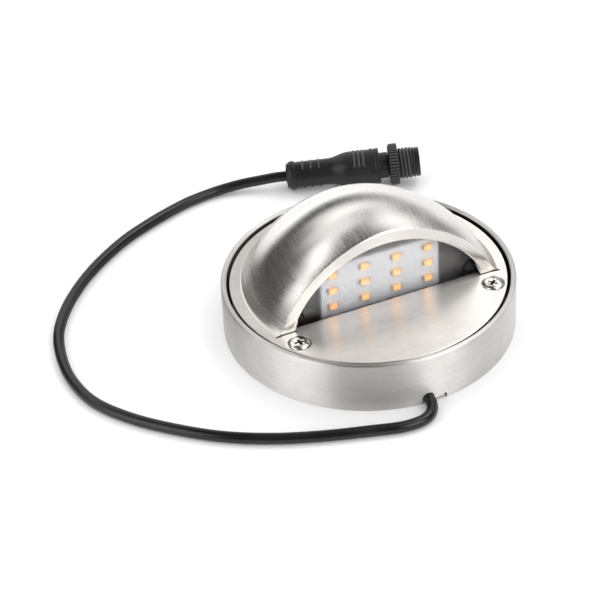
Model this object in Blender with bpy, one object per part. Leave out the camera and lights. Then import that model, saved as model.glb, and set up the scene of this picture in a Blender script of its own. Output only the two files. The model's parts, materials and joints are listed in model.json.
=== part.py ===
# Outdoor wall light: a short round steel housing, a steel cover with a half-dome hood over an
# LED board, and a round cord that ends in a screw connector.
# Metres. The light lies on its back: +Z points out of the wall, -Y is the side the hood opens to,
# +X runs along the opening. The origin is the centre of the housing's back face.

import math

import bmesh
import bpy
import numpy as np
from mathutils import Matrix, Vector

# Clearances and overruns shared by all pieces
gap = 0.0003                   # between faces that touch on the real object
overrun = 0.002                # how far a cutting shape runs past what it cuts
sink = 0.0004                  # how far two halves of one piece run into each other
lap = 0.0001                   # the same where a wall is thin

# Housing ring
ring_radius = 0.0550
ring_height = 0.0203
ring_wall = 0.0021
lip_round = 0.00075
flange_width = 0.0050
flange_thick = 0.0015
notch_right = 0.0047           # right end of the low part of the cable notch
notch_low = 0.0018             # height of that low part
notch_relief = 0.00055         # radius of the round relief in its corner

# Cord and the place where it leaves the housing
cord_radius = 0.0021
cord_x = -0.0026
cord_lift = 0.00215            # height of the cord's axis where it lies on the ground
cord_rise = 0.00575            # height of the axis inside, over the wall plate
cord_rise_start = 0.0028       # how far inside the ring wall the cord starts to climb
cord_rise_length = 0.0125
cord_tail_inside = 0.0309      # the cord's cut end, inside the ring wall
cord_spacing = 0.0053          # step along the cord between two rings of the tube

# Steel cover: round plate with the half-dome hood
cover_gap = 0.0011             # open drainage gap between cover and housing
cover_drop = 0.0009            # cover top below the housing's lip
sheet = 0.0012
cover_round = 0.00035
hood_side_rim = 0.0060         # flat rim beside the hood
hood_back_rim = 0.00436        # flat rim behind the hood
hood_centre_y = -0.00116
hood_rise = 0.0320
hood_power_share = 0.72        # below 1 the dome is fuller than a paraboloid
flare_height = 0.0036          # the fillet between dome and plate starts here
flare_lift = 0.00004           # it ends above the plate, so that the two share no plane
front_y = -0.0180              # front of the band where it meets the plate
front_lean = 0.074             # the band leans back this much per unit of height
band_side = 0.0050             # width of the band at its feet
band_top = 0.0047              # width of the band at the crown
arch_power_share = 0.68
tongue_tuck = 0.0019           # the plate's straight edge lies this far behind the band's front
slit_width = 0.00035
slit_reach = 0.0076            # the slit at each foot of the band runs this far outwards
pocket_radius = 0.00435
pocket_depth = 0.0013
pocket_wall = 0.0009
pocket_margin = 0.00098        # steel left between pocket and cover edge
cover_screw_setback = 0.00695  # screw axis in front of the band

# Cover screws and the posts they go into
cover_head_radius = 0.0037
cover_head_height = 0.0016
cover_shank_radius = 0.00195
cover_shank_length = 0.0100
post_radius = 0.00375
post_spigot_radius = 0.0029

# Wall plate
wall_plate_thick = 0.0015
wall_plate_side_gap = 0.0005
wall_slot_x = 0.0360
wall_slot_y = 0.0080
wall_slot_radius = 0.00225
wall_slot_travel = 0.0040
cord_slot_margin = 0.0009
cord_slot_length = 0.0167      # slot in the wall plate, inside the ring wall

# LED board and chips
chip_columns = 4
chip_rows = 3
chip_row_pitch = 0.0069
chip_first_row_rise = 0.0005   # lowest row above the cover's top
chip_width = 0.0035
chip_height = 0.0028
chip_thick = 0.0007
chip_rim = 0.0004
chip_dish = 0.00012
board_front_y = -0.0098
board_thick = 0.0016
board_boss_gap = 0.00786       # between the board's end and the lens boss
board_side_margin = 0.00455
board_end_margin = 0.00345

# LED carrier: upright plate with shoulders and a foot
carrier_thick = 0.0015
carrier_side_margin = 0.0006
carrier_over = 0.0038          # carrier above the board's top edge
shoulder_inner_rise = 0.0088   # shoulder height over the cover top, beside the board
shoulder_outer_rise = 0.0037
shoulder_drop = 0.0030         # shoulders reach this far below the cover top
shoulder_lap = 0.0005
carrier_foot_depth = 0.0134
carrier_screw_x = 0.0180
carrier_screw_back = 0.0084    # screw axis behind the carrier's front face
lead_window_half_width = 0.0080
lead_window_sill = 0.0006
lead_window_height = 0.0063

# Lens, its screws and its gasket
lens_thick = 0.0017
lens_setback = 0.0042          # lens front behind the band's front at plate level
lens_side_lap = 0.0026         # lens beyond the arch at its feet
lens_top_lap = 0.0024          # lens beyond the arch at the crown
lens_below = 0.0054            # lens below the cover top
lens_screw_inset = 0.0025      # screw axis from the foot of the arch
lens_screw_rise = 0.0016
lens_boss_radius = 0.0037
lens_recess_radius = 0.0036
lens_recess_depth = 0.0009
lens_head_radius = 0.0032
lens_head_height = 0.0013
lens_shank_radius = 0.0013
lens_shank_length = 0.0086
gasket_inner_lap = 0.0013      # gasket outside the arch's edge
gasket_width = 0.0013

# Driver board and what it carries
driver_centre_y = 0.0220
driver_half_width = 0.0180
driver_half_depth = 0.0100
driver_thick = 0.0016
spacer_height = 0.0031
spacer_radius = 0.0025
driver_screw_inset = 0.0035
terminal_size = (0.0080, 0.0070, 0.0062)
terminal_inset = 0.0040        # terminal block from the board's left edge
inductor_radius = 0.0045
inductor_waist_radius = 0.0036
inductor_flange = 0.0010
inductor_height = 0.0060
inductor_back = 0.0070         # axis from the board's back edge
parts_clearance = 0.0006       # between neighbours on the board
capacitor_radius = 0.00315
capacitor_height = 0.0090
capacitor_bevel = 0.0004
capacitor_margin = 0.0022      # from the board's right edge
capacitor_front = 0.0060       # axis from the board's front edge
regulator_size = (0.0050, 0.0040, 0.0015)
regulator_x = -0.0040
regulator_back = 0.0055        # centre from the board's back edge

# Cable clamp
clamp_inside = 0.0199          # clamp's middle, inside the ring wall
clamp_depth = 0.0050
clamp_thick = 0.0012
clamp_foot = 0.0075            # width of each foot beside the arch
clamp_screw_from_cord = 0.0066

# Hidden M3 screws
small_head_radius = 0.0025
small_head_height = 0.0014
small_shank_radius = 0.0012

# Shares of a screw's own sizes
head_side_share = 0.45         # straight side, of the head's height
head_flat_share = 0.40         # flat middle, of the head's radius
recess_reach_share = 0.52
recess_width_share = 0.13
recess_depth_share = 0.55
tip_length_share = 0.06        # cone at the end of the shank
tip_radius_share = 0.70

# Leads
lead_radius = 0.0006
lead_pitch = 0.0019
lead_bend = 0.0030
lead_rise_from_sill = 0.0018
lead_run_share = 0.5

# Connector, measured along its axis from the face where the cord enters
connector_start = (0.00798, 0.09417, 0.00605)
connector_direction = (0.931, -0.360, 0.058)
collar_radius = 0.0058
collar_length = 0.0039
grip_radius = 0.00535
grip_length = 0.0130
grip_marks = 3
mark_pitch = 0.0033
mark_first = 0.0025            # first mark from the collar
mark_proud = 0.00028
mark_width = 0.0008
taper_length = 0.0090
shell_radius = 0.0071
shell_length = 0.0121
shell_ribs = 3
rib_pitch = 0.0018
rib_first = 0.0016
rib_proud = 0.0003
rib_width = 0.0009
neck_radius = 0.00525
neck_length = 0.0034
shell_bevel = 0.0005

# Coupling screw: knurled flange, outside thread, groove for the seal, rim
knurl_radius = 0.0084
knurl_depth = 0.00045
knurl_teeth = 40
knurl_length = 0.0039
thread_root_radius = 0.00585
thread_crest_radius = 0.00630
thread_turns = 4
thread_pitch = 0.00145
thread_land = 0.00017          # flat at the root, on each side of a ridge
groove_radius = 0.00515
groove_length = 0.0012
rim_radius = 0.0059
rim_length = 0.0017
seal_proud = 0.00025
seal_bevel = 0.00015
bore_radius = 0.0046
snap_radius = 0.0053           # recess that the insert's flange snaps into
snap_start = 0.0017            # from the coupling's back face
snap_length = 0.0016

# Contact insert and pins
insert_tail = 0.0071           # insert inside the connector body
insert_front = 0.0046          # insert inside the coupling screw
pin_radius = 0.0006
pin_offset = 0.0016
pin_buried = 0.0060
pin_proud = 0.0055

# Derived levels and radii
inner_radius = ring_radius - ring_wall
cover_top = ring_height - cover_drop
cover_under = cover_top - sheet
cover_radius = inner_radius - cover_gap
hood_half_width = cover_radius - hood_side_rim
hood_half_depth = cover_radius - hood_back_rim - hood_centre_y
wall_plate_low = flange_thick + gap
wall_plate_top = wall_plate_low + wall_plate_thick
foot_low = wall_plate_top + gap
pocket_floor = cover_top - pocket_depth
pocket_under = pocket_floor - sheet
cover_screw_reach = cover_radius - pocket_radius - pocket_margin
cover_screw_y = front_y - cover_screw_setback
cover_screw_x = math.sqrt(cover_screw_reach ** 2 - cover_screw_y ** 2)
front_cut = 1 - ((front_y - hood_centre_y) / hood_half_depth) ** 2
crown_y = front_y + front_lean * hood_rise
crown_cut = 1 - ((crown_y - hood_centre_y) / hood_half_depth) ** 2
arch_half = hood_half_width * math.sqrt(front_cut) - band_side
arch_rise = hood_rise * crown_cut ** hood_power_share - band_top
lens_front_y = front_y + lens_setback
lens_screw_x = arch_half - lens_screw_inset
lens_back_y = lens_front_y + lens_thick
board_back_y = board_front_y + board_thick
carrier_front_y = board_back_y + gap
carrier_back_y = carrier_front_y + carrier_thick
board_half_width = lens_screw_x - lens_boss_radius - board_boss_gap
chip_column_pitch = 2 * (board_half_width - board_side_margin) / (chip_columns - 1)
board_low = cover_top + chip_first_row_rise - board_end_margin
board_high = board_low + 2 * board_end_margin + chip_row_pitch * (chip_rows - 1)
driver_low = foot_low + spacer_height + gap
driver_top = driver_low + driver_thick
carrier_screw_y = carrier_front_y + carrier_screw_back
cord_slot_end_y = -inner_radius + cord_slot_length
clamp_y = -inner_radius + clamp_inside
cord_tail_end = -inner_radius + cord_tail_inside
driver_front_y = driver_centre_y - driver_half_depth
driver_screw_x = driver_half_width - driver_screw_inset
driver_screw_y = driver_centre_y + driver_half_depth - driver_screw_inset
terminal_low = (-driver_half_width + terminal_inset, driver_front_y + gap, driver_top + gap)
terminal_high = tuple(corner + size for corner, size in zip(terminal_low, terminal_size))

# Facets round one turn
fine_steps = 72
dome_steps = 48
plate_steps = 36
round_steps = 24
body_steps = 22
bore_steps = 20
small_steps = 16
hidden_steps = 10

# Facets along a curve
arch_steps = 22
saddle_steps = 12
notch_steps = 10
dome_rings = 9
slot_steps = 6
taper_steps = 4
edge_steps = 3
flare_steps = 3
spline_steps = 24


def clear_scene():
    for item in list(bpy.data.objects):
        bpy.data.objects.remove(item, do_unlink=True)


def new_finish(name, colour, roughness, metallic=0.0):
    material = bpy.data.materials.new(name)
    material.use_nodes = True
    shader = material.node_tree.nodes["Principled BSDF"]
    shader.inputs["Base Color"].default_value = (*colour, 1.0)
    shader.inputs["Roughness"].default_value = roughness
    shader.inputs["Metallic"].default_value = metallic
    material.diffuse_color = (*colour, 1.0)
    return material


def arc(centre, radius, first, last, count):
    """Points on an arc, from one angle to another in degrees."""
    angles = [math.radians(first + (last - first) * i / count) for i in range(count + 1)]
    return [(centre[0] + radius * math.cos(a), centre[1] + radius * math.sin(a)) for a in angles]


def turned(profile, steps, closed=False):
    """Revolves (radius, height) points about Z; a radius of zero is a pole."""
    shape = bmesh.new()
    rings = []
    for radius, height in profile:
        turns = [math.tau * i / steps for i in range(steps)] if radius > 0 else [0.0]
        rings.append([shape.verts.new((radius * math.cos(a), radius * math.sin(a), height)) for a in turns])
    pairs = list(zip(rings, rings[1:]))
    if closed:
        pairs.append((rings[-1], rings[0]))
    for low, high in pairs:
        for i in range(steps):
            j = i + 1
            corners = [low[i % len(low)], low[j % len(low)], high[j % len(high)], high[i % len(high)]]
            face = list(dict.fromkeys(corners))
            if len(face) > 2:
                shape.faces.new(face)
    return shape


def extruded(outline, low, high, along="Z"):
    """Extrudes an outline between two levels. Outlines are (x, y) along Z, (x, z) along Y."""
    shape = bmesh.new()
    place = {"Z": lambda a, b, level: (a, b, level), "Y": lambda a, b, level: (a, level, b),
             "X": lambda a, b, level: (level, a, b)}[along]
    ends = [[shape.verts.new(place(a, b, level)) for a, b in outline] for level in (low, high)]
    count = len(outline)
    for i in range(count):
        j = (i + 1) % count
        shape.faces.new((ends[0][i], ends[0][j], ends[1][j], ends[1][i]))
    shape.faces.new(ends[0])
    shape.faces.new(ends[1])
    return shape


def block(low, high):
    corners = [(low[0], low[1]), (high[0], low[1]), (high[0], high[1]), (low[0], high[1])]
    return extruded(corners, low[2], high[2])


def rod(x, y, radius, low, high, steps):
    """Upright cylinder."""
    return moved(turned([(0, low), (radius, low), (radius, high), (0, high)], steps), (x, y, 0))


def moved(shape, offset, turn=None):
    matrix = Matrix.Translation(offset)
    if turn is not None:
        matrix = matrix @ turn
    bmesh.ops.transform(shape, matrix=matrix, verts=shape.verts)
    return shape


def together(shapes):
    """Several separate closed shapes in one mesh."""
    joined = bmesh.new()
    for shape in shapes:
        mesh = bpy.data.meshes.new("joined")
        shape.to_mesh(mesh)
        shape.free()
        joined.from_mesh(mesh)
        bpy.data.meshes.remove(mesh)
    return joined


def add_piece(name, shape, material=None):
    """Makes an object of a closed shape, with its faces turned outwards."""
    bmesh.ops.recalc_face_normals(shape, faces=shape.faces)
    mesh = bpy.data.meshes.new(name)
    shape.to_mesh(mesh)
    shape.free()
    piece = bpy.data.objects.new(name, mesh)
    bpy.context.scene.collection.objects.link(piece)
    finish_piece(piece, material)
    return piece


def finish_piece(piece, material):
    piece.data.materials.clear()
    if material is not None:
        piece.data.materials.append(material)
    piece.data.shade_smooth()
    piece.data.set_sharp_from_angle(angle=math.radians(35))


def carve(piece, shape, operation="DIFFERENCE"):
    """Cuts a shape out of a piece, or adds it, and keeps the result as the piece's mesh."""
    tool = add_piece(piece.name + "_tool", shape)
    modifier = piece.modifiers.new("carve", "BOOLEAN")
    modifier.operation = operation
    modifier.object = tool
    tool.hide_render = True
    tool.display_type = "WIRE"
    bpy.context.view_layer.update()
    seen = piece.evaluated_get(bpy.context.evaluated_depsgraph_get())
    carved = bpy.data.meshes.new_from_object(seen)
    piece.modifiers.clear()
    plain = piece.data
    material = plain.materials[0] if plain.materials else None
    piece.data = carved
    carved.name = piece.name
    bpy.data.meshes.remove(plain)
    bpy.data.objects.remove(tool, do_unlink=True)
    finish_piece(piece, material)


def smooth_path(route, spacing):
    """Points at even steps on a centripetal Catmull-Rom curve through the route's points."""
    points = np.array(route, dtype=float)
    points = np.vstack([2 * points[0] - points[1], points, 2 * points[-1] - points[-2]])
    fine = []
    for p0, p1, p2, p3 in zip(points, points[1:], points[2:], points[3:]):
        spans = [math.sqrt(np.linalg.norm(b - a)) for a, b in ((p0, p1), (p1, p2), (p2, p3))]
        knots = np.cumsum([0.0] + spans)
        for t in np.linspace(knots[1], knots[2], spline_steps, endpoint=False):
            a1 = p0 + (p1 - p0) * (t - knots[0]) / (knots[1] - knots[0])
            a2 = p1 + (p2 - p1) * (t - knots[1]) / (knots[2] - knots[1])
            a3 = p2 + (p3 - p2) * (t - knots[2]) / (knots[3] - knots[2])
            b1 = a1 + (a2 - a1) * (t - knots[0]) / (knots[2] - knots[0])
            b2 = a2 + (a3 - a2) * (t - knots[1]) / (knots[3] - knots[1])
            fine.append(b1 + (b2 - b1) * (t - knots[1]) / (knots[2] - knots[1]))
    fine.append(points[-2])
    fine = np.array(fine)
    along = np.concatenate([[0.0], np.cumsum(np.linalg.norm(np.diff(fine, axis=0), axis=1))])
    stations = np.linspace(0.0, along[-1], max(2, round(along[-1] / spacing)) + 1)
    return np.stack([np.interp(stations, along, fine[:, i]) for i in range(3)], axis=1), along[-1]


def add_tube(name, route, radius, spacing, sides_level, material):
    """Round tube with flat ends along a smooth curve; gives its length."""
    points, length = smooth_path(route, spacing)
    curve = bpy.data.curves.new(name, "CURVE")
    curve.dimensions = "3D"
    curve.bevel_depth = radius
    curve.bevel_resolution = sides_level
    curve.use_fill_caps = True
    spline = curve.splines.new("POLY")
    spline.points.add(len(points) - 1)
    for spot, point in zip(spline.points, points):
        spot.co = (*point, 1.0)
    curve.materials.append(material)
    piece = bpy.data.objects.new(name, curve)
    bpy.context.scene.collection.objects.link(piece)
    return length


def cross_outline(reach, half_width):
    """Plus shape of a cross recess."""
    corner = [(reach, -half_width), (reach, half_width), (half_width, half_width)]
    outline = []
    for quarter in range(4):
        c, s = round(math.cos(quarter * math.pi / 2)), round(math.sin(quarter * math.pi / 2))
        outline += [(c * x - s * y, s * x + c * y) for x, y in corner]
    return outline


def add_screw(name, size, place, material, steps, turn=None):
    """Pan-head screw with a cross recess; size is head radius, head height, shank radius and length."""
    head_radius, head_height, shank_radius, shank_length = size
    flat = head_radius * head_flat_share
    side = head_height * head_side_share
    crown = arc((0, 0), 1, 90, 0, edge_steps if steps > hidden_steps else 1)
    profile = [(0, head_height)]
    profile += [(flat + (head_radius - flat) * a, side + (head_height - side) * b) for a, b in crown]
    profile += [(head_radius, 0), (shank_radius, 0), (shank_radius, -shank_length * (1 - tip_length_share)),
                (shank_radius * tip_radius_share, -shank_length), (0, -shank_length)]
    screw = add_piece(name, moved(turned(profile, steps), place, turn), material)
    recess = extruded(cross_outline(head_radius * recess_reach_share, head_radius * recess_width_share),
                      head_height * (1 - recess_depth_share), head_height + overrun)
    carve(screw, moved(recess, place, turn))


def make_housing_ring(steel):
    lip = arc((ring_radius - lip_round, ring_height - lip_round), lip_round, 0, 90, edge_steps)
    inner_lip = arc((inner_radius + lip_round, ring_height - lip_round), lip_round, 90, 180, edge_steps)
    profile = [(ring_radius, 0)] + lip + inner_lip
    profile += [(inner_radius, flange_thick), (inner_radius - flange_width, flange_thick),
                (inner_radius - flange_width, 0)]
    ring = add_piece("housing_ring", turned(profile, fine_steps, closed=True), steel)
    inside = -inner_radius + flange_width + overrun
    carve(ring, extruded(notch_outline(), -ring_radius - overrun, inside, "Y"))


def notch_outline():
    """Cable notch seen from the front: a round-topped slot for the cord and a low slot beside it."""
    slot_radius = cord_radius + gap
    slot_top = arc((cord_x, cord_lift), slot_radius, 180, 0, notch_steps)
    relief = arc((notch_right - notch_relief, notch_low + notch_relief), notch_relief, 225, -45, notch_steps)
    return ([(cord_x - slot_radius, -overrun)] + slot_top + [(cord_x + slot_radius, notch_low)]
            + relief + [(notch_right, notch_low), (notch_right, -overrun)])


def dome_profile(flared):
    """Pairs of (footprint share, height) from the crown to the foot of the hood."""
    bare_share = math.sqrt(1 - (flare_height / hood_rise) ** (1 / hood_power_share))
    profile = [(0.0, hood_rise)]
    last_share = bare_share if flared else 1.0
    for i in range(1, dome_rings + 1):
        share = last_share * math.sin(math.pi / 2 * i / dome_rings)
        profile.append((share, hood_rise * max(0.0, 1 - share ** 2) ** hood_power_share))
    if flared:
        steepness = (2 * hood_power_share * hood_rise * bare_share
                     * (1 - bare_share ** 2) ** (hood_power_share - 1))
        spread = 2 * flare_height / steepness
        for i in range(1, flare_steps + 1):
            t = i / flare_steps
            profile.append((bare_share + spread * t, flare_height * (1 - t) ** 2 + flare_lift))
    return profile


def dome(half_width, half_depth, height_share, low, flared):
    """Closed dome on an oval footprint, with straight sides down to a level below the cover top."""
    profile = [(share, cover_top + height * height_share) for share, height in dome_profile(flared)]
    shape = turned(profile + [(profile[-1][0], low), (0, low)], dome_steps)
    bmesh.ops.scale(shape, vec=(half_width, half_depth, 1.0), verts=shape.verts)
    return moved(shape, (0, hood_centre_y, 0))


def lean(y):
    """The line that leans back with the band, from a place at cover level to far above the crown."""
    high = hood_rise + ring_height
    low = ring_height
    return [(y - front_lean * low, cover_top - low), (y + front_lean * high, cover_top + high)]


def arch_outline(half, rise, low, power):
    """Arch of the opening as (x, z) points, closed by a straight foot."""
    angles = [math.pi * i / arch_steps for i in range(arch_steps + 1)]
    arch = [(half * math.cos(a), cover_top + rise * abs(math.sin(a)) ** (2 * power)) for a in angles]
    return [(half, low)] + arch + [(-half, low)]


def make_hood_cover(steel):
    far = ring_radius + overrun
    shape = dome(hood_half_width, hood_half_depth, 1.0, cover_top - sheet / 2, True)
    hood = add_piece("hood_cover", shape, steel)
    carve(hood, extruded([(-far, lean(0)[0][1])] + lean(front_y) + [(-far, lean(0)[1][1])], -far, far, "X"))
    cavity = add_piece("hood_cavity", dome(hood_half_width - sheet, hood_half_depth - sheet,
                                           1 - sheet / hood_rise, cover_top - 2 * sheet, False))
    behind = lean(front_y + sheet)
    carve(cavity, extruded([(-far, behind[0][1])] + behind + [(-far, behind[1][1])], -far, far, "X"))
    hollow = bmesh.new()
    hollow.from_mesh(cavity.data)
    bpy.data.objects.remove(cavity, do_unlink=True)
    carve(hood, hollow)
    opening = arch_outline(arch_half, arch_rise, cover_top - 2 * sheet, arch_power_share)
    carve(hood, extruded(opening, front_y - overrun, front_y + sheet + front_lean * hood_rise + overrun, "Y"))
    carve(hood, cover_plate(), "UNION")
    bosses = [rod(x, cover_screw_y, pocket_radius + pocket_wall, pocket_under, cover_top - sheet / 2,
                  round_steps) for x in (-cover_screw_x, cover_screw_x)]
    carve(hood, together(bosses), "UNION")
    carve(hood, together(slits() + pockets()))
    low, high = pocket_under - overrun, pocket_floor + overrun
    carve(hood, together([rod(x, cover_screw_y, cover_shank_radius + gap, low, high, hidden_steps)
                          for x in (-cover_screw_x, cover_screw_x)]))


def cover_plate():
    """Flat round plate with the hole under the hood, cut straight along its tongue."""
    rounding = arc((cover_radius - cover_round, cover_top - cover_round), cover_round, 0, 90, edge_steps)
    plate = add_piece("cover_plate", turned([(0, cover_under), (cover_radius, cover_under)] + rounding
                                            + [(0, cover_top)], fine_steps))
    tongue_y = front_y + tongue_tuck
    inset = sheet + lap
    half_width, half_depth = hood_half_width - inset, hood_half_depth - inset
    start = math.asin((tongue_y - hood_centre_y) / half_depth)
    angles = [start + (math.pi - 2 * start) * i / dome_steps for i in range(dome_steps + 1)]
    hole = [(half_width * math.cos(a), hood_centre_y + half_depth * math.sin(a)) for a in angles]
    carve(plate, extruded(hole, cover_under - overrun, cover_top + overrun))
    shape = bmesh.new()
    shape.from_mesh(plate.data)
    bpy.data.objects.remove(plate, do_unlink=True)
    return shape


def slits():
    """L-shaped saw cut at each foot of the band."""
    start = arch_half - slit_width - gap
    low, high = cover_under - overrun, cover_top + gap
    shapes = []
    for side in (-1, 1):
        outline = [(start, front_y - slit_width), (arch_half + slit_reach, front_y - slit_width),
                   (arch_half + slit_reach, front_y), (start + slit_width, front_y),
                   (start + slit_width, front_y + tongue_tuck + gap), (start, front_y + tongue_tuck + gap)]
        shapes.append(extruded([(side * x, y) for x, y in outline], low, high))
    return shapes


def pockets():
    return [rod(x, cover_screw_y, pocket_radius, pocket_floor, cover_top + overrun, round_steps)
            for x in (-cover_screw_x, cover_screw_x)]


def make_cover_fixings(steel, zinc):
    size = (cover_head_radius, cover_head_height, cover_shank_radius, cover_shank_length)
    post_high = pocket_under - gap
    bore = cover_shank_radius + gap
    for side, x in (("left", -cover_screw_x), ("right", cover_screw_x)):
        add_screw("cover_screw_" + side, size, (x, cover_screw_y, pocket_floor + gap), steel, bore_steps)
        profile = [(bore, post_high), (bore, wall_plate_low), (post_spigot_radius, wall_plate_low),
                   (post_spigot_radius, foot_low), (post_radius, foot_low), (post_radius, post_high)]
        shape = moved(turned(profile, small_steps, closed=True), (x, cover_screw_y, 0))
        add_piece("cover_post_" + side, shape, zinc)


def slot_outline(x, y, radius, travel):
    """Slot with round ends, along X."""
    right = arc((x + travel / 2, y), radius, -90, 90, slot_steps)
    left = arc((x - travel / 2, y), radius, 90, 270, slot_steps)
    return right + left


def make_wall_plate(zinc):
    radius = inner_radius - wall_plate_side_gap
    profile = [(0, wall_plate_low), (radius, wall_plate_low), (radius, wall_plate_top), (0, wall_plate_top)]
    plate = add_piece("wall_plate", turned(profile, plate_steps), zinc)
    low, high = wall_plate_low - overrun, wall_plate_top + overrun
    slot_half = cord_radius + cord_slot_margin
    mouth = [(cord_x - slot_half, -ring_radius), (cord_x + slot_half, -ring_radius)]
    slot_end = arc((cord_x, cord_slot_end_y - slot_half), slot_half, 0, 180, slot_steps)
    cuts = [extruded(mouth + slot_end, low, high)]
    post_hole = post_spigot_radius + gap
    for side in (-1, 1):
        cuts.append(rod(side * cover_screw_x, cover_screw_y, post_hole, low, high, small_steps))
        slot = slot_outline(side * wall_slot_x, wall_slot_y, wall_slot_radius, wall_slot_travel)
        cuts.append(extruded(slot, low, high))
        holes = [(side * carrier_screw_x, carrier_screw_y), (side * driver_screw_x, driver_screw_y),
                 (cord_x + side * clamp_screw_from_cord, clamp_y)]
        cuts += [rod(x, y, small_shank_radius + gap, low, high, hidden_steps) for x, y in holes]
    carve(plate, together(cuts))


def make_led_carrier(alloy, zinc):
    half = board_half_width + carrier_side_margin
    top = board_high + carrier_over
    wing = arch_half + shoulder_lap
    wing_low = cover_top - shoulder_drop
    right = [(half, foot_low), (half, wing_low), (wing, wing_low), (wing, cover_top + shoulder_outer_rise),
             (half, cover_top + shoulder_inner_rise), (half, top)]
    outline = right + [(-x, z) for x, z in reversed(right)]
    carrier = add_piece("led_carrier", extruded(outline, carrier_front_y, carrier_back_y, "Y"), alloy)
    foot_top = foot_low + carrier_thick
    foot = block((-half + sink, carrier_front_y + sink, foot_low + lap),
                 (half - sink, carrier_front_y + carrier_foot_depth, foot_top))
    carve(carrier, foot, "UNION")
    sill = foot_top + lead_window_sill
    cuts = [block((-lead_window_half_width, carrier_front_y - overrun, sill),
                  (lead_window_half_width, carrier_back_y + overrun, sill + lead_window_height))]
    for side in (-1, 1):
        cuts.append(rod(side * carrier_screw_x, carrier_screw_y, small_shank_radius + gap,
                        foot_low - overrun, foot_top + overrun, hidden_steps))
        cuts.append(lens_axis_rod(side, lens_shank_radius + gap, carrier_front_y - overrun,
                                  carrier_back_y + overrun, hidden_steps))
    carve(carrier, together(cuts))
    head_low = foot_top + gap
    size = (small_head_radius, small_head_height, small_shank_radius, head_low - wall_plate_low)
    for side, name in ((-1, "left"), (1, "right")):
        place = (side * carrier_screw_x, carrier_screw_y, head_low)
        add_screw("carrier_screw_" + name, size, place, zinc, hidden_steps)


def lens_axis_rod(side, radius, low_y, high_y, steps):
    """Cylinder along Y on the axis of a lens screw."""
    shape = turned([(0, low_y), (radius, low_y), (radius, high_y), (0, high_y)], steps)
    turn = Matrix.Rotation(-math.pi / 2, 4, "X")
    return moved(shape, (side * lens_screw_x, 0, cover_top + lens_screw_rise), turn)


def make_led_board(white, package):
    shape = block((-board_half_width, board_front_y, board_low), (board_half_width, board_back_y, board_high))
    add_piece("led_board", shape, white)
    number = 0
    for row in range(chip_rows):
        for column in range(chip_columns):
            number += 1
            x = chip_column_pitch * (column - (chip_columns - 1) / 2)
            z = board_low + board_end_margin + chip_row_pitch * row
            add_chip("led_chip_{:02d}".format(number), x, z, package)


def add_chip(name, x, z, material):
    back = board_front_y - gap
    shape = block((x - chip_width / 2, back - chip_thick, z - chip_height / 2),
                  (x + chip_width / 2, back, z + chip_height / 2))
    bmesh.ops.recalc_face_normals(shape, faces=shape.faces)
    front = [face for face in shape.faces if face.normal.y < -0.9]
    bmesh.ops.inset_region(shape, faces=front, thickness=chip_rim, depth=-chip_dish)
    add_piece(name, shape, material)


def make_lens(frosted, black, rubber):
    half = arch_half + lens_side_lap
    rise = arch_rise + lens_top_lap
    outline = arch_outline(half, rise, cover_top - lens_below, arch_power_share)
    lens = add_piece("lens", extruded(outline, lens_front_y, lens_back_y, "Y"), frosted)
    boss_back = carrier_front_y - gap
    carve(lens, together([lens_axis_rod(side, lens_boss_radius, lens_back_y - sink, boss_back, small_steps)
                          for side in (-1, 1)]), "UNION")
    carve(lens, together([lens_axis_rod(side, lens_shank_radius + gap, lens_front_y - overrun,
                                        boss_back + overrun, hidden_steps) for side in (-1, 1)]))
    floor_y = lens_front_y + lens_recess_depth
    before = lens_front_y - overrun
    carve(lens, together([lens_axis_rod(side, lens_recess_radius, before, floor_y, small_steps)
                          for side in (-1, 1)]))
    size = (lens_head_radius, lens_head_height, lens_shank_radius, lens_shank_length)
    outwards = Matrix.Rotation(math.pi / 2, 4, "X")
    for side, name in ((-1, "left"), (1, "right")):
        place = (side * lens_screw_x, floor_y - gap, cover_top + lens_screw_rise)
        add_screw("lens_screw_" + name, size, place, black, small_steps, outwards)
    make_gasket(rubber)


def make_gasket(rubber):
    """Arched strip between the lens and the back of the band, its front leaning with the band."""
    shape = bmesh.new()
    angles = [math.pi * i / arch_steps for i in range(arch_steps + 1)]
    rows = []
    for a in angles:
        corners = []
        for lap, at_band in ((0, True), (gasket_width, True), (gasket_width, False), (0, False)):
            half = arch_half + gasket_inner_lap + lap
            rise = arch_rise + gasket_inner_lap + lap
            height = gap + (rise - gap) * abs(math.sin(a)) ** (2 * arch_power_share)
            y = front_y + sheet + gap + front_lean * height if at_band else lens_front_y - gap
            corners.append(shape.verts.new((half * math.cos(a), y, cover_top + height)))
        rows.append(corners)
    for first, second in zip(rows, rows[1:]):
        for i in range(4):
            j = (i + 1) % 4
            shape.faces.new((first[i], first[j], second[j], second[i]))
    shape.faces.new(rows[0])
    shape.faces.new(rows[-1])
    add_piece("lens_gasket", shape, rubber)


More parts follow.
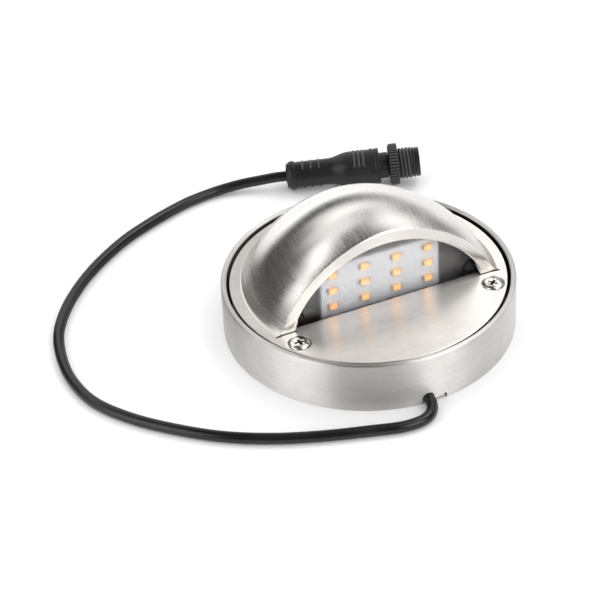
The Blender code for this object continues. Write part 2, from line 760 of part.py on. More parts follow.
def make_driver(board_green, zinc, plastic, ferrite, can, chip):
    left, right = -driver_half_width, driver_half_width
    back_y = driver_centre_y + driver_half_depth
    board = add_piece("driver_board", block((left, driver_front_y, driver_low), (right, back_y, driver_top)),
                      board_green)
    spots = [(side * driver_screw_x, driver_screw_y) for side in (-1, 1)]
    carve(board, together([rod(x, y, small_shank_radius + gap, driver_low - overrun, driver_top + overrun,
                               hidden_steps) for x, y in spots]))
    bore = small_shank_radius + gap
    head_low = driver_top + gap
    size = (small_head_radius, small_head_height, small_shank_radius, head_low - wall_plate_low)
    for (x, y), name in zip(spots, ("left", "right")):
        profile = [(bore, foot_low), (spacer_radius, foot_low), (spacer_radius, foot_low + spacer_height),
                   (bore, foot_low + spacer_height)]
        add_piece("driver_spacer_" + name, moved(turned(profile, hidden_steps, closed=True), (x, y, 0)), zinc)
        add_screw("driver_screw_" + name, size, (x, y, head_low), zinc, hidden_steps)
    add_piece("terminal_block", block(terminal_low, terminal_high), plastic)
    x = regulator_x + regulator_size[0] / 2 + parts_clearance + inductor_radius
    y = back_y - inductor_back
    low = driver_top + gap
    drum = [(0, low), (inductor_radius, low), (inductor_radius, low + inductor_flange),
            (inductor_waist_radius, low + inductor_flange),
            (inductor_waist_radius, low + inductor_height - inductor_flange),
            (inductor_radius, low + inductor_height - inductor_flange),
            (inductor_radius, low + inductor_height), (0, low + inductor_height)]
    add_piece("inductor", moved(turned(drum, small_steps), (x, y, 0)), ferrite)
    x = right - capacitor_margin - capacitor_radius
    y = driver_front_y + capacitor_front
    top = low + capacitor_height
    body = [(0, low), (capacitor_radius, low), (capacitor_radius, top - capacitor_bevel),
            (capacitor_radius - capacitor_bevel, top), (0, top)]
    add_piece("capacitor", moved(turned(body, small_steps), (x, y, 0)), can)
    x, y = regulator_x, back_y - regulator_back
    wide, deep, high = regulator_size
    shape = block((x - wide / 2, y - deep / 2, low), (x + wide / 2, y + deep / 2, low + high))
    add_piece("regulator_chip", shape, chip)


def make_cable_clamp(plastic, zinc):
    """Saddle over the cord, screwed to the wall plate on both sides."""
    inner = cord_radius + gap
    outer = inner + clamp_thick
    foot_top = foot_low + clamp_thick
    reach = inner + clamp_foot
    step = math.degrees(math.asin((foot_top - cord_rise) / outer))
    outline = [(cord_x + reach, foot_low), (cord_x + reach, foot_top)]
    outline += arc((cord_x, cord_rise), outer, step, 180 - step, saddle_steps)
    outline += [(cord_x - reach, foot_top), (cord_x - reach, foot_low), (cord_x - inner, foot_low)]
    outline += arc((cord_x, cord_rise), inner, 180, 0, saddle_steps) + [(cord_x + inner, foot_low)]
    low_y, high_y = clamp_y - clamp_depth / 2, clamp_y + clamp_depth / 2
    clamp = add_piece("cable_clamp", extruded(outline, low_y, high_y, "Y"), plastic)
    spots = [cord_x + side * clamp_screw_from_cord for side in (-1, 1)]
    carve(clamp, together([rod(x, clamp_y, small_shank_radius + gap, foot_low - overrun, foot_top + overrun,
                               hidden_steps) for x in spots]))
    head_low = foot_top + gap
    size = (small_head_radius, small_head_height, small_shank_radius, head_low - wall_plate_low)
    for x, name in zip(spots, ("left", "right")):
        add_screw("clamp_screw_" + name, size, (x, clamp_y, head_low), zinc, hidden_steps)


def connector_matrix():
    """Stands a shape turned about Z on the connector's start, along its axis."""
    axis = Vector(connector_direction).normalized()
    return Matrix.Translation(connector_start) @ axis.to_track_quat("Z", "Y").to_matrix().to_4x4()


def on_connector(station):
    """Point on the connector's axis."""
    start = Vector(connector_start)
    return start + Vector(connector_direction).normalized() * station


def cord_route():
    """The cord's axis from the ring wall to the connector, chosen by hand."""
    lift = cord_lift
    exit_y = -inner_radius - gap / 2
    points = [(cord_x, exit_y, lift), (cord_x, -0.0556, lift), (-0.0032, -0.0589, lift),
              (-0.0055, -0.0626, lift), (-0.0092, -0.0649, lift), (-0.0167, -0.0653, lift),
              (-0.0293, -0.0619, lift), (-0.0456, -0.0567, lift), (-0.0614, -0.0502, lift),
              (-0.0762, -0.0416, lift), (-0.0897, -0.0304, lift), (-0.1025, -0.0166, lift),
              (-0.1112, -0.0020, lift), (-0.1141, 0.0136, lift), (-0.1130, 0.0278, lift),
              (-0.1092, 0.0419, lift), (-0.1022, 0.0544, lift), (-0.0936, 0.0651, lift),
              (-0.0842, 0.0742, lift), (-0.0743, 0.0819, lift), (-0.0640, 0.0885, lift),
              (-0.0535, 0.0935, lift), (-0.0430, 0.0977, lift), (-0.0323, 0.1010, lift),
              (-0.02185, 0.1025, 0.0022), (-0.0169, 0.1023, 0.0026), (-0.0121, 0.1015, 0.0032),
              (-0.0074, 0.1002, 0.0039), (-0.0028, 0.0985, 0.0046)]
    return points + [tuple(on_connector(-2 * cord_radius)), tuple(on_connector(-gap))]


def tail_route():
    """The cord inside the housing: straight in, up over the wall plate, under the clamp."""
    start_y = -inner_radius + gap / 2
    climb_y = start_y + cord_rise_start
    middle = (cord_lift + cord_rise) / 2
    over_y = climb_y + cord_rise_length
    return [(cord_x, start_y, cord_lift), (cord_x, climb_y, cord_lift),
            (cord_x, (climb_y + over_y) / 2, middle), (cord_x, over_y, cord_rise),
            (cord_x, clamp_y, cord_rise), (cord_x, cord_tail_end, cord_rise)]


def make_cords(black, red, white):
    length = add_tube("power_cord", cord_route(), cord_radius, cord_spacing, 2, black)
    tail = add_tube("cord_tail", tail_route(), cord_radius, cord_spacing, 2, black)
    print("cord: {:.1f} mm outside, {:.1f} mm inside".format(length * 1000, tail * 1000))
    window_z = foot_low + carrier_thick + lead_window_sill + lead_rise_from_sill
    entry_x = (terminal_low[0] + terminal_high[0]) / 2
    entry_y = terminal_low[1] - gap
    entry_z = (terminal_low[2] + terminal_high[2]) / 2
    for side, name, material in ((-1, "supply_lead_red", red), (1, "supply_lead_black", black)):
        shift = side * lead_pitch / 2
        start = (cord_x + shift, cord_tail_end + gap, cord_rise)
        end = (entry_x + side * lead_pitch, entry_y, entry_z)
        route = [start, (start[0], start[1] + lead_bend, start[2]),
                 (start[0], carrier_front_y, window_z),
                 (start[0] + (end[0] - start[0]) * lead_run_share, (carrier_back_y + end[1]) / 2,
                  (window_z + end[2]) / 2),
                 (end[0], end[1] - lead_bend, end[2]), end]
        add_tube(name, route, lead_radius, lead_bend, 1, material)
    up_y = board_front_y - gap - lead_radius
    for place, name, material in ((1, "led_lead_white", white), (3, "led_lead_black", black)):
        x = cord_x + lead_bend + place * lead_pitch / 2
        pad_y = driver_front_y + lead_bend
        lead_top = driver_top + gap
        route = [(x, pad_y, lead_top), (x, pad_y - lead_radius, lead_top + lead_bend),
                 (x, pad_y - 2 * lead_bend, lead_top + lead_bend),
                 (x, carrier_back_y, window_z + lead_radius), (x, up_y, window_z + lead_bend),
                 (x, up_y, board_low - lead_radius), (x, up_y, board_low + lead_pitch / 2)]
        add_tube(name, route, lead_radius, lead_bend, 1, material)


def raised(first, pitch, count, width, low_radius, proud):
    """Profile points of evenly spaced raised rings on a straight stretch."""
    points = []
    for i in range(count):
        start = first + i * pitch
        points += [(low_radius, start), (low_radius + proud, start + width / 2), (low_radius, start + width)]
    return points


def make_connector(black):
    grip_end = collar_length + grip_length
    taper_end = grip_end + taper_length
    shell_end = taper_end + shell_length
    neck_end = shell_end + neck_length
    bevel = shell_bevel
    profile = [(0, 0), (collar_radius - bevel, 0), (collar_radius, bevel),
               (collar_radius, collar_length - bevel), (grip_radius, collar_length)]
    profile += raised(collar_length + mark_first, mark_pitch, grip_marks, mark_width, grip_radius, mark_proud)
    rise = shell_radius - grip_radius
    for i in range(taper_steps + 1):
        t = i / taper_steps
        profile.append((grip_radius + rise * (1 - math.cos(math.pi * t)) / 2, grip_end + taper_length * t))
    profile += raised(taper_end + rib_first, rib_pitch, shell_ribs, rib_width, shell_radius, rib_proud)
    profile += [(shell_radius, shell_end - bevel), (shell_radius - bevel, shell_end),
                (neck_radius, shell_end), (neck_radius, neck_end), (bore_radius, neck_end),
                (bore_radius, neck_end - insert_tail - gap), (0, neck_end - insert_tail - gap)]
    body = turned(profile, body_steps)
    add_piece("connector_body", moved(body, (0, 0, 0), connector_matrix()), black)
    return neck_end


def make_coupling(neck_end, black, rubber):
    """Sleeve with the knurled flange and the outside thread; it turns on the connector's axis."""
    back = neck_end + gap
    thread_start = back + knurl_length
    groove_start = thread_start + thread_turns * thread_pitch
    groove_end = groove_start + groove_length
    front = groove_end + rim_length
    profile = [(0, back), (thread_root_radius, back), (thread_root_radius, thread_start)]
    for turn in range(thread_turns):
        start = thread_start + turn * thread_pitch
        profile += [(thread_root_radius, start + thread_land),
                    (thread_crest_radius, start + thread_pitch / 2),
                    (thread_root_radius, start + thread_pitch - thread_land)]
    profile += [(thread_root_radius, groove_start), (groove_radius, groove_start),
                (groove_radius, groove_end), (rim_radius, groove_end), (rim_radius, front - gap),
                (rim_radius - gap, front), (0, front)]
    matrix = connector_matrix()
    coupling = add_piece("coupling_screw", moved(turned(profile, round_steps), (0, 0, 0), matrix), black)
    teeth = []
    for i in range(2 * knurl_teeth):
        radius = knurl_radius - (knurl_depth if i % 2 else 0)
        angle = math.pi * i / knurl_teeth
        teeth.append((radius * math.cos(angle), radius * math.sin(angle)))
    carve(coupling, moved(extruded(teeth, back, thread_start), (0, 0, 0), matrix), "UNION")
    snap_back, snap_front = back + snap_start, back + snap_start + snap_length
    bore = [(0, back - overrun), (bore_radius, back - overrun), (bore_radius, snap_back),
            (snap_radius, snap_back), (snap_radius, snap_front), (bore_radius, snap_front),
            (bore_radius, front + overrun), (0, front + overrun)]
    carve(coupling, moved(turned(bore, bore_steps), (0, 0, 0), matrix))
    low, high = groove_start + gap, groove_end - gap
    inner, outer = groove_radius + gap, rim_radius + seal_proud
    seal = [(inner, low), (outer - seal_bevel, low), (outer, (low + high) / 2), (outer - seal_bevel, high),
            (inner, high)]
    add_piece("coupling_seal", moved(turned(seal, round_steps, closed=True), (0, 0, 0), matrix), rubber)


def make_contacts(neck_end, black, brass):
    """Insert that carries the two pins; its flange sits in the recess of the coupling screw."""
    back = neck_end + gap
    low, high = neck_end - insert_tail, back + insert_front + snap_start
    radius = bore_radius - gap
    flange_low, flange_high = back + snap_start + gap, back + snap_start + snap_length - gap
    profile = [(0, low), (radius, low), (radius, flange_low), (snap_radius - gap, flange_low),
               (snap_radius - gap, flange_high), (radius, flange_high), (radius, high), (0, high)]
    matrix = connector_matrix()
    insert = add_piece("contact_insert", moved(turned(profile, bore_steps), (0, 0, 0), matrix), black)
    places = [-pin_offset, pin_offset]
    carve(insert, together([moved(rod(x, 0, pin_radius + gap, high - pin_buried - gap, high + overrun,
                                      hidden_steps), (0, 0, 0), matrix) for x in places]))
    for number, x in enumerate(places, 1):
        tip = pin_radius / 2
        pin = [(0, high - pin_buried), (pin_radius, high - pin_buried), (pin_radius, high + pin_proud - tip),
               (tip, high + pin_proud), (0, high + pin_proud)]
        shape = moved(moved(turned(pin, hidden_steps), (x, 0, 0)), (0, 0, 0), matrix)
        add_piece("contact_pin_{}".format(number), shape, brass)
    face = matrix @ Vector((0, 0, high))
    print("insert face at {:.5f} {:.5f} {:.5f}".format(*face))


def main():
    clear_scene()
    steel = new_finish("brushed stainless", (0.55, 0.53, 0.50), 0.34, 1.0)
    screw_steel = new_finish("polished stainless", (0.60, 0.58, 0.55), 0.22, 1.0)
    zinc = new_finish("zinc plated steel", (0.50, 0.51, 0.52), 0.40, 1.0)
    alloy = new_finish("anodised aluminium", (0.16, 0.155, 0.15), 0.55, 0.6)
    board_white = new_finish("white solder mask", (0.78, 0.80, 0.82), 0.45)
    package = new_finish("led package", (0.95, 0.62, 0.25), 0.40)
    frosted = new_finish("frosted lens", (0.72, 0.74, 0.76), 0.50)
    black = new_finish("black plastic", (0.018, 0.018, 0.019), 0.45)
    rubber = new_finish("black rubber", (0.015, 0.015, 0.015), 0.70)
    red = new_finish("red lead", (0.55, 0.03, 0.02), 0.50)
    lead_white = new_finish("white lead", (0.75, 0.75, 0.73), 0.50)
    board_green = new_finish("green solder mask", (0.02, 0.12, 0.05), 0.40)
    terminal = new_finish("terminal plastic", (0.03, 0.10, 0.22), 0.45)
    ferrite = new_finish("ferrite", (0.04, 0.04, 0.045), 0.60)
    can = new_finish("capacitor sleeve", (0.03, 0.04, 0.08), 0.35)
    brass = new_finish("gilt brass", (0.65, 0.47, 0.18), 0.30, 1.0)

    make_housing_ring(steel)
    make_hood_cover(steel)
    make_cover_fixings(screw_steel, zinc)
    make_wall_plate(zinc)
    make_led_carrier(alloy, zinc)
    make_led_board(board_white, package)
    make_lens(frosted, black, rubber)
    make_driver(board_green, zinc, terminal, ferrite, can, black)
    make_cable_clamp(black, zinc)
    make_cords(black, red, lead_white)
    neck_end = make_connector(black)
    make_coupling(neck_end, black, rubber)
    make_contacts(neck_end, black, brass)


main()
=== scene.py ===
import json
import math

import bmesh
import bpy
import numpy as np
from mathutils import Matrix, Vector


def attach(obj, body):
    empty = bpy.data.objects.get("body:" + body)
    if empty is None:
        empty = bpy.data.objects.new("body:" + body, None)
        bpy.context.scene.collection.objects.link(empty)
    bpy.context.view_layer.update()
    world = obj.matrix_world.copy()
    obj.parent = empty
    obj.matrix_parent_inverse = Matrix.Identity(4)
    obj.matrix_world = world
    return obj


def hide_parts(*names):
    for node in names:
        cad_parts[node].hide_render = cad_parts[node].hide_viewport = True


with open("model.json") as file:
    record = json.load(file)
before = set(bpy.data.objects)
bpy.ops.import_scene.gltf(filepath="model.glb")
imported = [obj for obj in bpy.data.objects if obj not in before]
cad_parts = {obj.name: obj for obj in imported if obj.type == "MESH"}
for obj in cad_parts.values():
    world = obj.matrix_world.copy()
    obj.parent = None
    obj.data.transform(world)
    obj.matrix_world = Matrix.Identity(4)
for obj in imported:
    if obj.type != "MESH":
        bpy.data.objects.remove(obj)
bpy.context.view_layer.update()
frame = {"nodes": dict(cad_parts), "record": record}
nodes = frame["nodes"]

mm = 0.001
weld = 0.0001  # millimetres; grid points closer than this become one
sharpAngle = 32  # degrees; sharper bends keep a hard edge


def addObject(name, data):
    piece = bpy.data.objects.new(name, data)
    bpy.context.scene.collection.objects.link(piece)
    return piece


# Camera

camera = {"place": (-0.28730, -0.62753, 0.52682), "target": (-0.01862, 0.02241, 0.0), "lens": 138.0,
          "sensor": 36.0, "roll": -2.918}


def placeCamera():
    data = bpy.data.cameras.new("camera")
    data.lens = camera["lens"]
    data.sensor_width = camera["sensor"]
    eye = addObject("camera", data)
    aim = Vector(camera["target"]) - Vector(camera["place"])
    turn = aim.to_track_quat("-Z", "Y").to_matrix().to_4x4()
    roll = Matrix.Rotation(math.radians(camera["roll"]), 4, "Z")
    eye.matrix_world = Matrix.Translation(camera["place"]) @ turn @ roll
    bpy.context.scene.camera = eye


placeCamera()
print("camera placed")

# Grids and meshes


def stack(*values):
    # One more axis, at the end, from coordinates whose shapes fit together.
    return np.stack(np.broadcast_arrays(*values), axis=-1)


def fullTurn(steps):
    # Angles from 0 to 2 pi with both ends, so that a turned surface closes on itself.
    return np.linspace(0, 2 * np.pi, steps + 1)


def turnRound(radius, angle, height):
    # x = radius cos a, y = radius sin a.
    return stack(radius * np.cos(angle), radius * np.sin(angle), height)


def unit(vectors):
    # Each vector divided by its own length.
    return vectors / np.maximum(np.linalg.norm(vectors, axis=-1, keepdims=True), 1e-9)


def pathLength(points):
    # Length along the first axis of points, from its start to each of them.
    steps = np.linalg.norm(np.diff(points, axis=0), axis=-1)
    return np.concatenate([0 * steps[:1], np.cumsum(steps, axis=0)])


def bend(start, corner, end, t):
    # The parabola (1-t)^2 start + 2t(1-t) corner + t^2 end.
    return (1 - t) ** 2 * start + 2 * t * (1 - t) * corner + t ** 2 * end


def smoothStep(value, low, high):
    # t^2 (3 - 2t), with t the share of the way from low to high.
    t = np.clip((value - low) / (high - low), 0, 1)
    return t * t * (3 - 2 * t)


def gridFaces(rows, columns):
    # One quad between each two neighbouring rows and columns.
    row, column = np.meshgrid(np.arange(rows - 1), np.arange(columns - 1), indexing="ij")
    corner = (row * columns + column).reshape(-1, 1)
    return corner + np.array([[0, 1, columns + 1, columns]])


def nextPairs(values):
    # Each corner of a face with the one after it.
    return np.stack([values, np.roll(values, -1, axis=1)], axis=2)


def joinGrids(grids, inner=None):
    # Grids are (points, grain) pairs: points are rows x columns x 3, grain is rows x columns x 2.
    # Points that fall together become one, and quads that lose a corner become triangles.
    # With inner grids, the sheet gets a second layer and walls along its open edges.
    points = np.concatenate([grid[0].reshape(-1, 3) for grid in grids])
    grain = np.concatenate([grid[1].reshape(-1, 2) for grid in grids])
    starts = np.cumsum([0] + [grid[0].shape[0] * grid[0].shape[1] for grid in grids])
    faces = np.concatenate([gridFaces(*grid[0].shape[:2]) + start for grid, start in zip(grids, starts)])
    keys = np.round(points / weld).astype(np.int64)
    first, index = np.unique(keys, axis=0, return_index=True, return_inverse=True)[1:]
    merged = index.reshape(-1)[faces]
    same = merged == np.roll(merged, -1, axis=1)
    quads, slim = same.sum(1) == 0, same.sum(1) == 1
    parts = [(merged[quads], grain[faces[quads]]),
             (merged[slim][~same[slim]].reshape(-1, 3), grain[faces[slim]][~same[slim]].reshape(-1, 3, 2))]
    points = points[first]
    if inner is not None:
        count = len(points)
        lower = np.concatenate([grid.reshape(-1, 3) for grid in inner])[first]
        points = np.concatenate([points, lower])
        edges = np.concatenate([nextPairs(part).reshape(-1, 2) for part, _ in parts])
        marks = np.concatenate([nextPairs(spots).reshape(-1, 2, 2) for _, spots in parts])
        codes = edges[:, 0] * count + edges[:, 1]
        bare = ~np.isin(edges[:, 1] * count + edges[:, 0], codes)
        walls = np.concatenate([edges[bare][:, ::-1], edges[bare] + count], axis=1)
        wallMarks = np.concatenate([marks[bare][:, ::-1], marks[bare]], axis=1)
        parts += [(part[:, ::-1] + count, spots[:, ::-1]) for part, spots in parts] + [(walls, wallMarks)]
    return points, parts


def makeMesh(name, points, parts, sharp=sharpAngle):
    # Quads and triangles with a "grain" UV map in millimetres: u across the brush lines, v along them.
    mesh = bpy.data.meshes.new(name)
    mesh.from_pydata((points * mm).tolist(), [], [face for part, _ in parts for face in part.tolist()])
    grain = mesh.uv_layers.new(name="grain")
    grain.data.foreach_set("uv", np.concatenate([spots.reshape(-1) for _, spots in parts]))
    shape = bmesh.new()
    shape.from_mesh(mesh)
    bmesh.ops.recalc_face_normals(shape, faces=shape.faces)
    shape.to_mesh(mesh)
    shape.free()
    mesh.shade_smooth()
    mesh.set_sharp_from_angle(angle=math.radians(sharp))
    return mesh


def addPiece(name, data, finish, slot, stands, body="root"):
    piece = addObject(name, data)
    data.materials.clear()
    data.materials.append(finish)
    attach(piece, body)
    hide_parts(*stands)
    return piece


def turnProfile(profile, steps, matrix=None):
    # Profile of (radius, height) turned about Z. The grain runs round the axis: u is the length along the
    # profile, v the angle times the largest radius.
    profile = np.asarray(profile, float)
    angle = fullTurn(steps)
    points = turnRound(profile[:, :1], angle, profile[:, 1:])
    grain = stack(pathLength(profile)[:, None], profile[:, 0].max() * angle)
    return (points if matrix is None else movePoints(points, matrix)), grain


def movePoints(points, matrix):
    # Each point turned and moved by the matrix.
    grid = np.array(matrix)
    return points @ grid[:3, :3].T + grid[:3, 3]


def turnedMesh(name, profile, steps, matrix, sharp=sharpAngle):
    # One closed profile turned about the matrix's Z axis.
    return makeMesh(name, *joinGrids([turnProfile(profile, steps, matrix)]), sharp)


def roundCorners(corners, steps=5):
    # Corners are (radius, height, rounding). A rounded corner becomes a parabola between the points at
    # the rounding's distance from it.
    corners = np.asarray(corners, float)
    path = [corners[0, :2]]
    t = np.linspace(0, 1, steps)[:, None]
    for before, here, after in zip(corners, corners[1:], corners[2:]):
        middle, size = here[:2], here[2]
        if size > 0:
            start, end = (middle + size * unit(other[:2] - middle) for other in (before, after))
            path.extend(bend(start, middle, end, t))
        else:
            path.append(middle)
    path.append(corners[-1, :2])
    return np.array(path)


def carve(mesh, tools, operation="DIFFERENCE"):
    # Cuts closed shapes out of a mesh, or adds them, and gives the resulting mesh.
    piece = addObject("carved", mesh)
    for tool in tools:
        cutter = addObject("cutter", tool)
        modifier = piece.modifiers.new("carve", "BOOLEAN")
        modifier.operation = operation
        modifier.object = cutter
        bpy.context.view_layer.update()
        seen = piece.evaluated_get(bpy.context.evaluated_depsgraph_get())
        result = bpy.data.meshes.new_from_object(seen)
        piece.modifiers.clear()
        piece.data = result
        bpy.data.objects.remove(cutter, do_unlink=True)
    bpy.data.objects.remove(piece, do_unlink=True)
    result.shade_smooth()
    result.set_sharp_from_angle(angle=math.radians(sharpAngle))
    return result


# Shader node groups and finishes

# The finishes use the mark to paint shade in recesses and a highlight on crests.
mark = 4000.0  # added to the grain map's v in recesses and on crests, so that the finish finds them
pebbleScale = 900.0  # noise cells to the metre


def newGroup(name, inputs, outputs):
    group = bpy.data.node_groups.new(name, "ShaderNodeTree")
    for label, kind, value in inputs:
        socket = group.interface.new_socket(label, in_out="INPUT", socket_type="NodeSocket" + kind)
        if value is not None:
            socket.default_value = value
    for label, kind in outputs:
        group.interface.new_socket(label, in_out="OUTPUT", socket_type="NodeSocket" + kind)
    entry = group.nodes.new("NodeGroupInput")
    leave = group.nodes.new("NodeGroupOutput")
    return group, entry, leave


def addNode(tree, kind, links=None, **settings):
    # links: socket name or index -> another node's output, or a plain value.
    node = tree.nodes.new("ShaderNode" + kind)
    for key, value in settings.items():
        setattr(node, key, value)
    for key, value in (links or {}).items():
        if isinstance(value, bpy.types.NodeSocket):
            tree.links.new(value, node.inputs[key])
        else:
            node.inputs[key].default_value = value
    return node


def calculate(tree, operation, *values, clamp=False):
    node = addNode(tree, "Math", dict(enumerate(values)), operation=operation, use_clamp=clamp)
    return node.outputs[0]


def mapRange(tree, value, low, high, toLow=0.0, toHigh=1.0):
    node = addNode(tree, "MapRange", {0: value, 1: low, 2: high, 3: toLow, 4: toHigh},
                   interpolation_type="SMOOTHSTEP")
    return node.outputs[0]


def mixColour(tree, factor, first, second, blend="MIX"):
    # first and second: a colour of three values, or another node's output.
    first, second = (value if isinstance(value, bpy.types.NodeSocket) else (*value, 1)
                     for value in (first, second))
    node = addNode(tree, "Mix", {0: factor, 6: first, 7: second}, data_type="RGBA", blend_type=blend)
    return node.outputs[2]


def splitVector(tree, vector):
    return addNode(tree, "SeparateXYZ", {0: vector}).outputs


def objectPlace(tree):
    return addNode(tree, "TexCoord").outputs["Object"]


def grainMap(tree):
    return addNode(tree, "UVMap", uv_map="grain").outputs[0]


def addNoise(tree, vector, scale, detail, roughness=0.5):
    node = addNode(tree, "TexNoise", {"Vector": vector, "Scale": scale, "Detail": detail,
                                      "Roughness": roughness})
    return node.outputs[0]


def addBump(tree, strength, distance, height):
    node = addNode(tree, "Bump", {"Strength": strength, "Distance": distance * mm, "Height": height})
    return node.outputs[0]


def feed(tree, shader, **values):
    # Links each output to the shader input of that name.
    for key, value in values.items():
        tree.links.new(value, shader.inputs[key.replace("_", " ")])


def makeBrushed():
    # Brush lines: noise squeezed across the lines and drawn out along them, in three widths.
    group, entry, leave = newGroup("brushed", [("Grain", "Vector", None), ("Along", "Float", 0.04)],
                                   [("Tone", "Float"), ("Scratch", "Float"), ("Cloud", "Float")])
    across, along = splitVector(group, entry.outputs[0])[:2]
    drawnOut = calculate(group, "MULTIPLY", along, entry.outputs[1])
    drawn = addNode(group, "CombineXYZ", {0: across, 1: drawnOut}).outputs[0]
    fine = addNoise(group, drawn, 5.5, 3.0, 0.7)
    broad = addNoise(group, drawn, 1.3, 3.0, 0.6)
    cloud = addNoise(group, entry.outputs[0], 0.11, 3.0, 0.55)
    tone = calculate(group, "MULTIPLY", calculate(group, "ADD", fine, broad), 0.5)
    for socket, value in zip(leave.inputs, (tone, fine, cloud)):
        group.links.new(value, socket)
    return group


def makeMottle():
    # Soft uneven tone and a fine pebbled surface, for moulded and coated pieces.
    group, entry, leave = newGroup("mottle", [("Scale", "Float", pebbleScale)],
                                   [("Tone", "Float"), ("Pebble", "Float")])
    place = objectPlace(group)
    broadScale = calculate(group, "MULTIPLY", entry.outputs[0], 0.08)
    group.links.new(addNoise(group, place, broadScale, 4.0), leave.inputs[0])
    group.links.new(addNoise(group, place, entry.outputs[0], 2.0), leave.inputs[1])
    return group


brushed = makeBrushed()
mottle = makeMottle()


def mottled(tree, scale=pebbleScale):
    return addNode(tree, "Group", {"Scale": scale}, node_tree=mottle).outputs


def newFinish(name, **values):
    material = bpy.data.materials.new(name)
    material.use_nodes = True
    tree = material.node_tree
    shader = tree.nodes["Principled BSDF"]
    for key, value in values.items():
        shader.inputs[key.replace("_", " ")].default_value = value
    return material, tree, shader


# Painted shade on the dome: between these heights its colour is multiplied by the tint.
domeShade = {"low": 19.6, "high": 23.0, "shadeTint": (0.88, 0.886, 0.9)}  # heights from the plate to the dome


def brushedSteel(name, dark, light, rough, anisotropy, scratch=0.02, domePolish=0.0, recessShade=None):
    # Colour from dark to light and roughness from low to high follow the brush lines. The pressed dome is
    # smoother than the plate by domePolish, and its colour is multiplied down as painted shade. Screw
    # recesses and the ring's inner wall are dull, and are painted in a dark colour as painted shade.
    material, tree, shader = newFinish(name, Metallic=1.0, Anisotropic=anisotropy)
    grain = grainMap(tree)
    lines = addNode(tree, "Group", {"Grain": grain}, node_tree=brushed).outputs
    colour = mixColour(tree, mapRange(tree, lines["Tone"], 0.32, 0.68), dark, light)
    cloudy = mapRange(tree, lines["Cloud"], 0.3, 0.7, 0.94, 1.0)
    shaded = mixColour(tree, 1.0, colour, cloudy, "MULTIPLY")
    worn = mapRange(tree, lines["Tone"], 0.3, 0.7, *rough)
    if recessShade:
        # Painted shade: where the grain map is marked, the colour goes to the dark colour given for
        # recesses.
        inside = mapRange(tree, splitVector(tree, grain)[1], mark * 0.15, mark * 0.6)
        shaded = mixColour(tree, inside, shaded, recessShade)
    if domePolish:
        height = splitVector(tree, objectPlace(tree))[2]
        raised = mapRange(tree, height, domeShade["low"] * mm, domeShade["high"] * mm)
        worn = calculate(tree, "MULTIPLY_ADD", raised, -domePolish, worn)
        # Painted shade: the dome's colour is multiplied down by the tint.
        shaded = mixColour(tree, raised, shaded, domeShade["shadeTint"], "MULTIPLY")
    tangent = addNode(tree, "Tangent", direction_type="UV_MAP", uv_map="grain").outputs[0]
    feed(tree, shader, Base_Color=shaded, Roughness=worn, Tangent=tangent,
         Normal=addBump(tree, 0.12, scratch, lines["Scratch"]))
    return material


def moulded(name, dark, light, rough, scale=pebbleScale, pebble=0.02, crest=None, **values):
    # Plastic, rubber, paint and solder mask: mottled colour and roughness over a pebbled surface. The
    # crests of teeth, threads and ribs get a painted highlight in the colour in crest.
    material, tree, shader = newFinish(name, **values)
    spots = mottled(tree, scale)
    colour = mixColour(tree, mapRange(tree, spots["Tone"], 0.35, 0.65), dark, light)
    if crest:
        # Painted highlight: marked crests turn to the crest colour.
        crestHighlight = mapRange(tree, splitVector(tree, grainMap(tree))[1], mark * 0.15, mark * 0.9)
        colour = mixColour(tree, crestHighlight, colour, crest)
    feed(tree, shader, Base_Color=colour, Roughness=mapRange(tree, spots["Tone"], 0.3, 0.7, *rough),
         Normal=addBump(tree, 0.3, pebble, spots["Pebble"]))
    return material


# The ring's inner wall is painted dark, as painted shade in the gap under the cover.
ringSteel = brushedSteel("ring steel", (0.66, 0.64, 0.62), (0.78, 0.76, 0.735), (0.42, 0.52), 0.92,
                         recessShade=(0.15, 0.125, 0.105))
coverSteel = brushedSteel("cover steel", (0.78, 0.745, 0.706), (0.87, 0.836, 0.798), (0.29, 0.36), 0.9,
                          scratch=0.008, domePolish=0.07)
# The screw's cross recess is painted dark, as painted shade.
screwSteel = brushedSteel("screw steel", (0.70, 0.68, 0.655), (0.82, 0.80, 0.77), (0.16, 0.26), 0.3,
                          recessShade=(0.16, 0.11, 0.075))
zincPlate = moulded("zinc plate", (0.42, 0.43, 0.44), (0.56, 0.57, 0.58), (0.32, 0.5), 500.0, Metallic=1.0)
carrierAlloy = moulded("carrier alloy", (0.10, 0.097, 0.093), (0.13, 0.126, 0.12), (0.45, 0.6), 700.0)
boardWhite = moulded("white solder mask", (0.76, 0.79, 0.83), (0.82, 0.84, 0.87), (0.35, 0.5))
# Its crest colour is a painted highlight on teeth, threads, ribs and raised marks.
blackPlastic = moulded("black plastic", (0.006, 0.006, 0.0065), (0.010, 0.010, 0.0105), (0.34, 0.44),
                        crest=(0.055, 0.055, 0.056), Specular_IOR_Level=0.4)
blackRubber = moulded("black rubber", (0.012, 0.012, 0.012), (0.02, 0.02, 0.02), (0.6, 0.75))
cordJacket = moulded("cord jacket", (0.005, 0.005, 0.0055), (0.01, 0.01, 0.0105), (0.22, 0.32), 500.0,
                      Specular_IOR_Level=0.4)
redLead = moulded("red lead", (0.5, 0.02, 0.015), (0.6, 0.04, 0.03), (0.35, 0.5))
blackLead = moulded("black lead", (0.015, 0.015, 0.015), (0.03, 0.03, 0.03), (0.35, 0.5))
whiteLead = moulded("white lead", (0.7, 0.7, 0.68), (0.78, 0.78, 0.76), (0.35, 0.5))
boardGreen = moulded("green solder mask", (0.012, 0.09, 0.035), (0.03, 0.15, 0.06), (0.3, 0.45), 300.0)
terminalBlue = moulded("terminal plastic", (0.02, 0.08, 0.19), (0.04, 0.12, 0.25), (0.4, 0.5))
